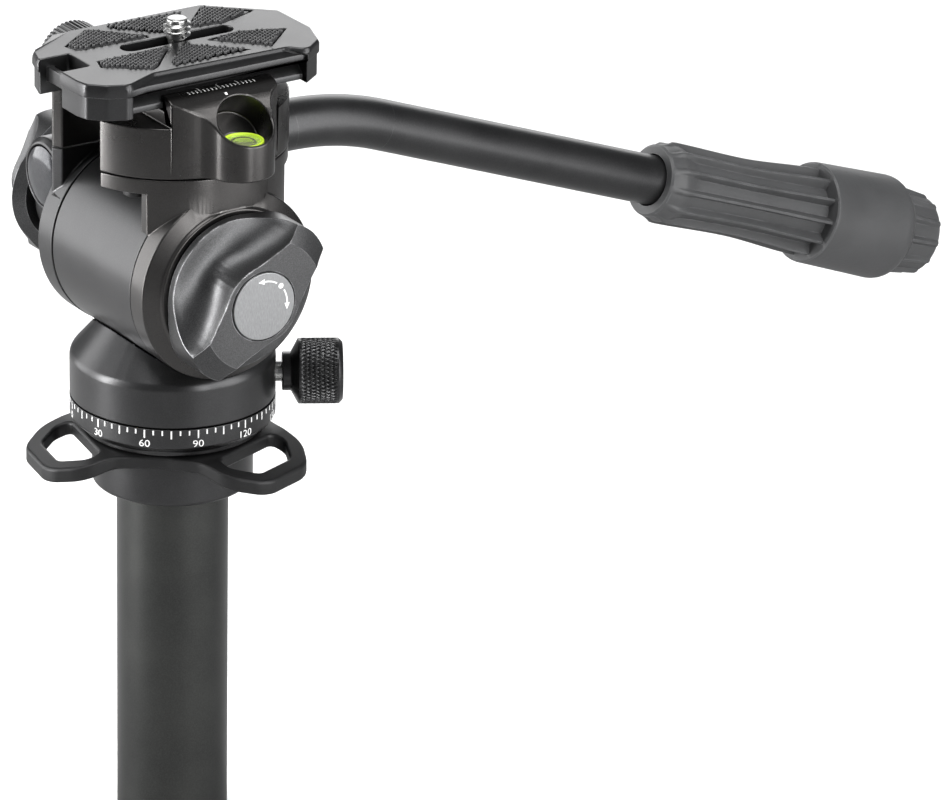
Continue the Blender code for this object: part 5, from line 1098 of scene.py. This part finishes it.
outline = "0 headLow, head headLow, head headTop, neck headTop, neck neckTop, 0 neckTop"
head = solid(turned(cameraScrew, outline, 96))
whole = joined(reopen(carve(head, bar(*cameraScrew["coin"]))), *threadedRod(cameraScrew))
place = (0, cameraScrew["y"], heights["tiltAxis"])
finishPiece(whole, "screw", "steel", "camera_screw", sharp=40, place=place)
print("stage: camera screw")

tiltKnob = {
    "base": 26.9, "round": 18.05, "rim": 2.6, "height": 12.3, "undercut": 0.8, "turn": 134, "levels": 24,
    "tipStart": 15.4, "tipSlope": 27, "tipLength": 12, "scoopPower": 2.2, "bossPower": 1.0,
    "bossReach": 7.0,
    "wing": (
        (0, 9.5), (1.5, 9.4), (3, 9.0), (4.5, 8.4), (6, 7.8), (8, 7.1), (10, 6.45), (12, 5.8), (14, 5.3),
        (16, 4.95), (18, 4.8), (20.3, 4.5),
    ),
    "sideRound": 3.0, "tipRound": 3.2, "tipBlend": 14, "faceEdge": 0.22, "rimEdge": 0.3, "disc": 8.0,
    "discRoom": 8.3, "discSeat": 11.5, "discThickness": 0.85, "bore": 4.3, "boreEnd": 9.9, "cutEnd": 20,
}
handleKnob = dict(
    tiltKnob, base=-45.2, round=14.8, turn=4, bore=2.8, tipStart=12.4, undercut=2.4,
    wing=(
        (0, 9.3), (1.5, 9.15), (3, 8.7), (4.5, 8.0), (6, 7.3), (8, 6.5), (10, 5.8), (12, 5.2), (14, 4.9),
        (17.0, 4.5),
    ),
)
discMark = {
    "sunk": 0.05, "thickness": 0.07, "dot": 0.65, "dotPlace": 6.0, "arrow": (13, 46), "band": (5.8, 6.15),
    "middle": 5.975, "headHalf": 0.7, "headLength": 1.6,
}


# The wing's face seen from the front: waisted sides, and tips with rounded corners.
def wingOutline(knob):
    side, start, end = list(knob["wing"][1:]), knob["wing"][0][1], knob["wing"][-1][0]
    around = [*[(x, -y) for x, y in side], *reversed(side)]
    whole = [(0, -start), *around, (0, start), *[(-x, -y) for x, y in around]]
    radii = [knob["sideRound"] if abs(x) < end else knob["tipRound"] for x, y in whole]
    rounded = roundCorners(whole, radii, 4)
    made = []
    for index, point in enumerate(rounded):
        here, on = Vector(point), Vector(rounded[(index + 1) % len(rounded)])
        pieces = max(1, round((on - here).length / 0.5))
        made += [tuple(here + (on - here) * step / pieces) for step in range(pieces)]
    return made


# A round knob whose flanks run straight to its tips, with a hollow scoop on each side of the wing.
def wingKnob(knob):
    face = wingOutline(knob)
    tip = Vector(knob["wing"][-1])
    touch = math.atan2(tip.y, tip.x) + math.acos(knob["round"] / tip.length)
    blend = knob["tipBlend"]

    def outer(turn):
        turn = abs(math.atan2(math.sin(turn), math.cos(turn)))
        turn = min(turn, math.pi - turn)
        if turn > touch:
            return knob["round"]
        flank, end = knob["round"] / math.cos(touch - turn), tip.x / math.cos(turn)
        return (flank**-blend + end**-blend) ** (-1 / blend)

    def halfWidth(along):
        for (low, first), (high, last) in zip(knob["wing"], knob["wing"][1:]):
            if along <= high:
                return first + (last - first) * (along - low) / (high - low)
        return knob["wing"][-1][1]

    def ring(inward, height=None, inset=0.0, drop=0.0):
        points = []
        for x, y in face:
            turn = math.atan2(y, x)
            edge = outer(turn)
            size = edge + (min(math.hypot(x, y), edge - 0.12) - edge) * inward - inset
            along, across = size * abs(math.cos(turn)), size * abs(math.sin(turn))
            width = halfWidth(along)
            out = min(1.0, max(0.0, (across - width) / (knob["round"] - width)))
            power = knob["scoopPower"] + knob["bossPower"] * math.exp(-((along / knob["bossReach"]) ** 2))
            scoop = 1 - (1 - (1 - out) ** power) ** (1 / power)
            rise = knob["rim"] + (knob["height"] - knob["rim"]) * scoop - drop
            points.append((size * math.cos(turn), size * math.sin(turn), rise if height is None else height))
        return points

    edge, rim, top = knob["faceEdge"], knob["rimEdge"], knob["height"]
    rings = [
        ring(0, 0, knob["undercut"]), ring(0, knob["undercut"]), ring(0, drop=rim),
        ring(0, drop=rim * 0.3, inset=rim * 0.3),
    ]
    for step in range(1, knob["levels"] + 1):
        share = 1 - (1 - step / knob["levels"]) ** 1.8
        rings.append(ring(share, inset=rim * (1 - share), drop=edge if step == knob["levels"] else 0))
    rings += [ring(1, top - edge * 0.3, edge * 0.3), ring(1, top, edge)]
    slope, length, start = math.tan(math.radians(knob["tipSlope"])), knob["tipLength"], knob["tipStart"]
    cone = lathe([
        (start, top), (start + length, top - length * slope), (start + length, knob["cutEnd"]),
        (start - 0.5, knob["cutEnd"]), (start - 0.5, top + 0.5 * slope),
    ], 160)
    seat = rod(knob["discRoom"], knob["discSeat"], knob["cutEnd"], 96)
    made = solid(twist(loftRings(rings), math.radians(knob["turn"])))
    return carve(made, cone, seat, rod(knob["bore"], -1, knob["boreEnd"]))


def knobDisc(knob):
    low = knob["discSeat"] + gap
    disc = rectangle(0, knob["disc"], low, low + knob["discThickness"])
    return solid(lathe(roundCorners(disc, [0.1, 0.25, 0, 0]), 96))


# A dot on the wing's axis, and a curved arrow on each side of it.
def discMarks(knob):
    low = knob["discSeat"] + gap + knob["discThickness"] - discMark["sunk"]
    high = low + discMark["thickness"]
    parts = [shift(rod(discMark["dot"], low, high, 24), discMark["dotPlace"])]
    for side in (-1, 1):
        start, end = (math.radians(angle) * side for angle in discMark["arrow"])
        sweep = [arcPoints((0, 0), radius, start, end, 16) for radius in discMark["band"]]
        parts.append(slab(sweep[0] + sweep[1][::-1], low, high))
        point = discMark["middle"] * Vector((math.cos(end), math.sin(end)))
        along = Vector((-point.y, point.x)).normalized() * side * discMark["headLength"]
        across = point.normalized() * discMark["headHalf"]
        head = (point + across, point + along, point - across)
        parts.append(slab([tuple(corner) for corner in head], low, high + 0.001))
    return solid(twist(joined(*parts), math.radians(knob["turn"])))


# Turns a knob made along Z so that it points out along X from its base.
def standKnob(target, knob):
    matrix = Matrix.Translation((knob["base"], 0, 0))
    if knob["base"] < 0:
        matrix = matrix @ Matrix.Rotation(math.pi, 4, "Z")
    target.data.transform(matrix @ Matrix.Rotation(math.radians(90), 4, "Y"))
    return target


for knob, body, name in ((tiltKnob, "tilt_lock", "tilt"), (handleKnob, "handle_lock", "handle")):
    for make, finish, part, node, sharp in (
        (wingKnob, "knob", "", f"{name}_lock_knob", 20),
        (knobDisc, "silver", "Disc", f"{name}_knob_disc", 36), (discMarks, "ink", "Marks", None, 36),
    ):
        made = standKnob(make(knob), knob)
        finishPiece(made, body, finish, node, name=name + "LockKnob" + part, sharp=sharp, place=tiltCentre)
print("stage: wing knobs")

handle = {
    "x": -34, "rise": 9.9, "rosette": 13.0, "rosetteInner": -23.2, "rosetteOuter": -26.4, "hub": 11.0,
    "hubOuter": -43.4, "bore": 2.8, "boreCut": (-50, -20), "socket": 9.2, "mouth": 8.0, "front": -14.3,
    "frontEdge": -13.1, "back": 20.0, "backEdge": 18.8, "capRoom": 7.4, "capSeat": -12.8, "tubeRoom": 6.45,
    "tubeCut": (-11.8, 21), "soften": 0.35, "tube": 6.15, "tubeInner": 4.85, "bendStart": 51.3,
    "bendRadius": 75.0, "bend": 20.5, "straight": 150.0,
}
socketCap = {
    "front": -15.0, "near": 3.5, "nearY": -14.93, "mid": 5.6, "midY": -14.72, "radius": 7.1, "edge": -14.25,
    "back": -13.1, "rounds": [0, 0, 0, 0.2, 0, 0],
}
handlePlace = (handle["x"], 0, heights["tiltAxis"] + handle["rise"])
outline = (
    "bore rosetteInner, rosette rosetteInner, rosette rosetteOuter, hub rosetteOuter, hub hubOuter, "
    "bore hubOuter"
)
block = solid(turnTo(lathe(pick(handle, outline)), "X"))
socketCentre = (handle["x"], 0, handle["rise"])
outline = (
    "0 capSeat, capRoom capSeat, capRoom front, mouth front, socket frontEdge, socket backEdge, mouth back, "
    "0 back"
)
weldOn(block, shift(turnTo(lathe(pick(handle, outline)), "Y"), *socketCentre))
carve(
    block, rodAlong(handle["bore"], *handle["boreCut"], sides=48),
    rodAlong(handle["tubeRoom"], *handle["tubeCut"], "Y", 96, socketCentre),
)
finishPiece(softenEdges(block, handle["soften"], 32), "handle", "head", "handle_block", place=tiltCentre)
made = turnTo(turned(socketCap, "0 front, near nearY, mid midY, radius edge, radius back, 0 back", 96), "Y")
finishPiece(made, "handle", "gloss", "handle_socket_cap", place=handlePlace)


# The tube's ring of faces is pushed straight, spun round the bend and pushed on.
tubeStart, bend = handle["tubeCut"][0] + gap, math.radians(handle["bend"])
tube = bmesh.new()
for radius in (handle["tube"], handle["tubeInner"]):
    bmesh.ops.create_circle(tube, radius=radius, segments=64)
shift(twist(tube, math.radians(-90), "X"), 0, tubeStart)
bmesh.ops.bridge_loops(tube, edges=tube.edges)
pushed = bmesh.ops.extrude_face_region(tube, geom=tube.faces[:], use_keep_orig=True)["geom"]
bmesh.ops.translate(tube, vec=(0, handle["bendStart"] - tubeStart, 0), verts=only(pushed, bmesh.types.BMVert))
spun = bmesh.ops.spin(
    tube, geom=only(pushed, bmesh.types.BMFace), cent=(0, handle["bendStart"], -handle["bendRadius"]),
    axis=(-1, 0, 0), angle=bend, steps=24, use_merge=False,
)["geom_last"]
pushed = bmesh.ops.extrude_face_region(tube, geom=only(spun, bmesh.types.BMFace))["geom"]
way = Vector((0, math.cos(bend), -math.sin(bend)))
bmesh.ops.translate(tube, vec=way * handle["straight"], verts=only(pushed, bmesh.types.BMVert))
bmesh.ops.remove_doubles(tube, verts=tube.verts, dist=0.001)
bmesh.ops.recalc_face_normals(tube, faces=tube.faces)
finishPiece(tube, "handle", "tube", "handle_tube", place=handlePlace)
print("stage: handle")

grip = {
    "flutes": 12, "sides": 20, "fluteShare": 0.8, "fluteLead": 0.04, "fluteWall": 0.13, "start": 84.5,
    "nose": 4.2, "noseRadius": 8.4, "radius": 10.3, "waist": 26.0, "waistRadius": 9.9, "fluteEnd": 135.5,
    "endRadius": 11.15, "depth": 1.7, "collar": 12.7, "collarEnd": 161.5, "collarEndRadius": 13.2,
    "round": 3.0, "bore": 6.45, "tubeEnd": 150.3, "webTop": 155.0, "pocketEnd": 155.2, "plug": 6.15,
    "plugRoom": 6.45, "plugStart": 155.8, "capLow": 161.8, "capLength": 10.5, "capRadius": 11.6,
    "capEndRadius": 10.3, "notch": 1.1, "capEdge": 0.3, "dish": 0.35,
}


# A ring with flat-bottomed flutes, their walls softly rounded.
def flutedRing(radius, depth, height):
    points = []
    for step in range(grip["flutes"] * grip["sides"]):
        turn = math.tau * step / (grip["flutes"] * grip["sides"])
        place = (step / grip["sides"]) % 1
        share = grip["fluteShare"]
        edge = min(place, share - place) if place < share else -min(place - share, 1 - place)
        deep = min(1.0, max(0.0, (edge + grip["fluteLead"]) / grip["fluteWall"]))
        size = radius - depth * (3 * deep**2 - 2 * deep**3)
        points.append((size * math.cos(turn), size * math.sin(turn), height))
    return points


def placeOnGrip(build):
    radius, start = handle["bendRadius"], handle["bendStart"]
    bendEnd = Matrix.Translation((0, start + radius * math.sin(bend), -radius * (1 - math.cos(bend))))
    matrix = bendEnd @ Matrix.Rotation(-math.radians(90) - bend, 4, "X")
    bmesh.ops.transform(build, matrix=matrix, verts=build.verts)
    return build


# Reads a value between its keys, with soft joins.
def between(keys, place):
    for (low, first), (high, last) in zip(keys, keys[1:]):
        if place <= high:
            share = (place - low) / (high - low)
            return first + (last - first) * (3 * share**2 - 2 * share**3)
    return keys[-1][1]


start, end, nose, depth, rim = (grip[key] for key in ("start", "fluteEnd", "nose", "depth", "collar"))
keysStart = start + 1.2
radiusKeys = [
    (keysStart, grip["noseRadius"] + 0.7), (start + nose, grip["radius"]),
    (start + grip["waist"], grip["waistRadius"]), (end, grip["endRadius"]),
]
depthKeys = [
    (start, 0.0), (start + nose, depth / 3), (start + 2.2 * nose, depth), (start + grip["waist"], depth),
    (end, depth * 1.5),
]
sections = [
    (grip["bore"] + 0.05, 0, start), (grip["noseRadius"], 0, start), (grip["noseRadius"] + 0.5, 0, start + 0.5),
]
for step in range(41):
    place = keysStart + (end - keysStart) * step / 40
    sections.append((between(radiusKeys, place), between(depthKeys, place), place))
sections += [
    (rim - 0.5, 0, end + 0.05), (rim - 0.12, 0, end + 0.35), (rim, 0, end + 1.0),
    (grip["collarEndRadius"], 0, grip["collarEnd"] - grip["round"]),
]
for step in range(1, 7):
    turn = math.radians(90) * step / 6
    drop = (grip["collarEndRadius"] - grip["capRadius"]) * (1 - math.cos(turn))
    height = grip["collarEnd"] - grip["round"] * (1 - math.sin(turn))
    sections.append((grip["collarEndRadius"] - drop, 0, height))
sections += [
    (grip["plugRoom"], 0, grip["collarEnd"]), (grip["plugRoom"], 0, grip["pocketEnd"]),
    (0.5, 0, grip["webTop"]), (0.5, 0, grip["tubeEnd"] + 0.2), (grip["bore"], 0, grip["tubeEnd"]), sections[0],
]
sleeve = loftRings([flutedRing(*section) for section in sections], False)
bmesh.ops.remove_doubles(sleeve, verts=sleeve.verts, dist=merge)
bmesh.ops.recalc_face_normals(sleeve, faces=sleeve.faces)
finishPiece(placeOnGrip(sleeve), "handle", "grip", "grip_sleeve", place=handlePlace)

low, high, edge = grip["capLow"], grip["capLow"] + grip["capLength"], grip["capEdge"]
startRadius, endRadius, plug = grip["capRadius"] - edge, grip["capEndRadius"], grip["plug"]
sections = [
    (0.4, 0, grip["plugStart"]), (plug, 0, grip["plugStart"]), (plug, 0, low), (startRadius, 0, low),
    (grip["capRadius"], 0, low + edge),
]
for step in range(7):
    share = step / 6
    radius = startRadius + (endRadius - startRadius) * share
    height = low + 0.6 + (grip["capLength"] - 1.4) * share
    sections.append((radius, grip["notch"] * (1 - 0.3 * share), height))
sections += [
    (endRadius - 0.25, 0.4, high - edge), (endRadius - 0.8, 0.1, high), (endRadius * 0.75, 0, high),
    (endRadius * 0.7, 0, high - grip["dish"]), (0.4, 0, high - grip["dish"]),
]
endCap = loftRings([flutedRing(*section) for section in sections])
finishPiece(placeOnGrip(endCap), "handle", "grip", "grip_end_cap", place=handlePlace)

washer = {"radius": 7.0, "inner": -43.7, "outer": -44.9, "bore": 2.8, "rounds": 0.2}
made = turnTo(turned(washer, "radius inner, radius outer, bore outer, bore inner", 96), "X")
finishPiece(made, "handle", "steel", "handle_lock_washer", place=tiltCentre)
print("stage: grip")

# The inner parts stay as the frame has them, with the finish of each.
innerParts = {
    "steel": (
        "mounting_stud", "pan_post", "pan_post_nut", "saddle_screw_1", "saddle_screw_2", "tilt_axle",
        "handle_lock_screw",
    ),
    "bronze": (
        "pan_washer", "left_bush", "right_bush", "drag_disc_left", "drag_disc_right", "pan_brake_shoe",
        "camera_screw_washer",
    ),
    "head": ("barrel_lid",),
    "column": ("drag_rotor",),
}
for finish, names in innerParts.items():
    for name in names:
        node = bpy.data.objects[name]
        node.data.materials.clear()
        node.data.materials.append(finishes[finish])

studio = {
    "floorSize": 4, "floorSeen": ((0.93, 0.93, 0.93), (0.96, 0.96, 0.96)), "floorLit": (0.4, 0.4, 0.4),
    "sky": (0.8, 0.82, 0.85, 1), "skyStrength": 0.22, "seen": (1, 1, 1, 1), "aim": (0, 0, 0.15),
    # Place, width, height, power: a strip and a wide box low on each side, one box overhead, one behind.
    "lights": {
        "leftStrip": ((-0.15, -0.46, 0.2), 0.1, 0.42, 5.0), "leftWide": ((-0.47, -0.32, 0.22), 0.3, 0.42, 2.3),
        "rightStrip": ((0.52, 0.03, 0.22), 0.09, 0.42, 1.5), "rightWide": ((0.4, 0.27, 0.3), 0.3, 0.6, 3.4),
        "top": ((0.1, -0.2, 1.2), 0.7, 0.7, 10.0), "back": ((-0.95, 0.65, 0.5), 0.9, 0.7, 6.2),
    },
}
floorMaterial, tree, shader, _, marks = startMaterial("paleFloor", 0.0, 0.2, 40.0, 3.0)
seen = mixColour(tree, spreadValue(tree, marks["Mottle"], 0, 1), *studio["floorSeen"])
rays = addNode(tree, "ShaderNodeLightPath").outputs["Is Camera Ray"]
tree.links.new(mixColour(tree, rays, studio["floorLit"], seen), shader["Base Color"])
shader["Roughness"].default_value = 0.9
build = bmesh.new()
bmesh.ops.create_grid(build, x_segments=1, y_segments=1, size=studio["floorSize"])
floor = solid(build, "floor")
floor.data.materials.append(floorMaterial)

for name, (place, width, height, power) in studio["lights"].items():
    lamp = bpy.data.lights.new(name + "Softbox", "AREA")
    lamp.shape = "RECTANGLE"
    lamp.size, lamp.size_y = width, height
    lamp.energy = power
    made = bpy.data.objects.new(name + "Softbox", lamp)
    bpy.context.scene.collection.objects.link(made)
    made.location = place
    made.rotation_euler = (Vector(studio["aim"]) - Vector(place)).to_track_quat("-Z", "Y").to_euler()

world = bpy.data.worlds.new("studio")
bpy.context.scene.world = world
world.use_nodes = True
tree = world.node_tree
background = tree.nodes["Background"]
background.inputs["Color"].default_value = studio["sky"]
background.inputs["Strength"].default_value = studio["skyStrength"]
paths = addNode(tree, "ShaderNodeLightPath")
plainWhite = addNode(tree, "ShaderNodeBackground", Color=studio["seen"])
mix = addNode(tree, "ShaderNodeMixShader")
for output, socket in (
    (paths.outputs["Is Camera Ray"], mix.inputs["Fac"]), (background.outputs["Background"], mix.inputs[1]),
    (plainWhite.outputs["Background"], mix.inputs[2]),
    (mix.outputs["Shader"], tree.nodes["World Output"].inputs["Surface"]),
):
    tree.links.new(output, socket)
bpy.context.scene.view_settings.view_transform = "Standard"

view = {
    "azimuth": 56.15, "elevation": 22.655, "roll": 1.07, "distance": 1639.19, "focal": 7130.5,
    "aside": -68.822, "above": 2.2, "sensor": 36, "pictureWidth": 944, "clipEnd": 50,
}
azimuth, elevation, roll = (math.radians(view[key]) for key in ("azimuth", "elevation", "roll"))
out = math.cos(elevation)
away = Vector((math.sin(azimuth) * out, -math.cos(azimuth) * out, math.sin(elevation)))
sideways = Vector((math.cos(azimuth), math.sin(azimuth), 0))
upward = away.cross(sideways)
rightWay = sideways * math.cos(roll) + upward * math.sin(roll)
upWay = upward * math.cos(roll) - sideways * math.sin(roll)
spot = (away * view["distance"] - rightWay * view["aside"] - upWay * view["above"]) * toMetres
spot.z += heights["seam"] * toMetres
camera = bpy.data.cameras.new("camera")
camera.sensor_width = view["sensor"]
camera.lens = view["sensor"] * view["focal"] / view["pictureWidth"]
camera.clip_end = view["clipEnd"]
cameraObject = bpy.data.objects.new("camera", camera)
bpy.context.scene.collection.objects.link(cameraObject)
turn = Matrix((rightWay, upWay, away)).transposed().to_4x4()
cameraObject.matrix_world = Matrix.Translation(spot) @ turn
bpy.context.scene.camera = cameraObject
print("stage: stage, lights and camera")
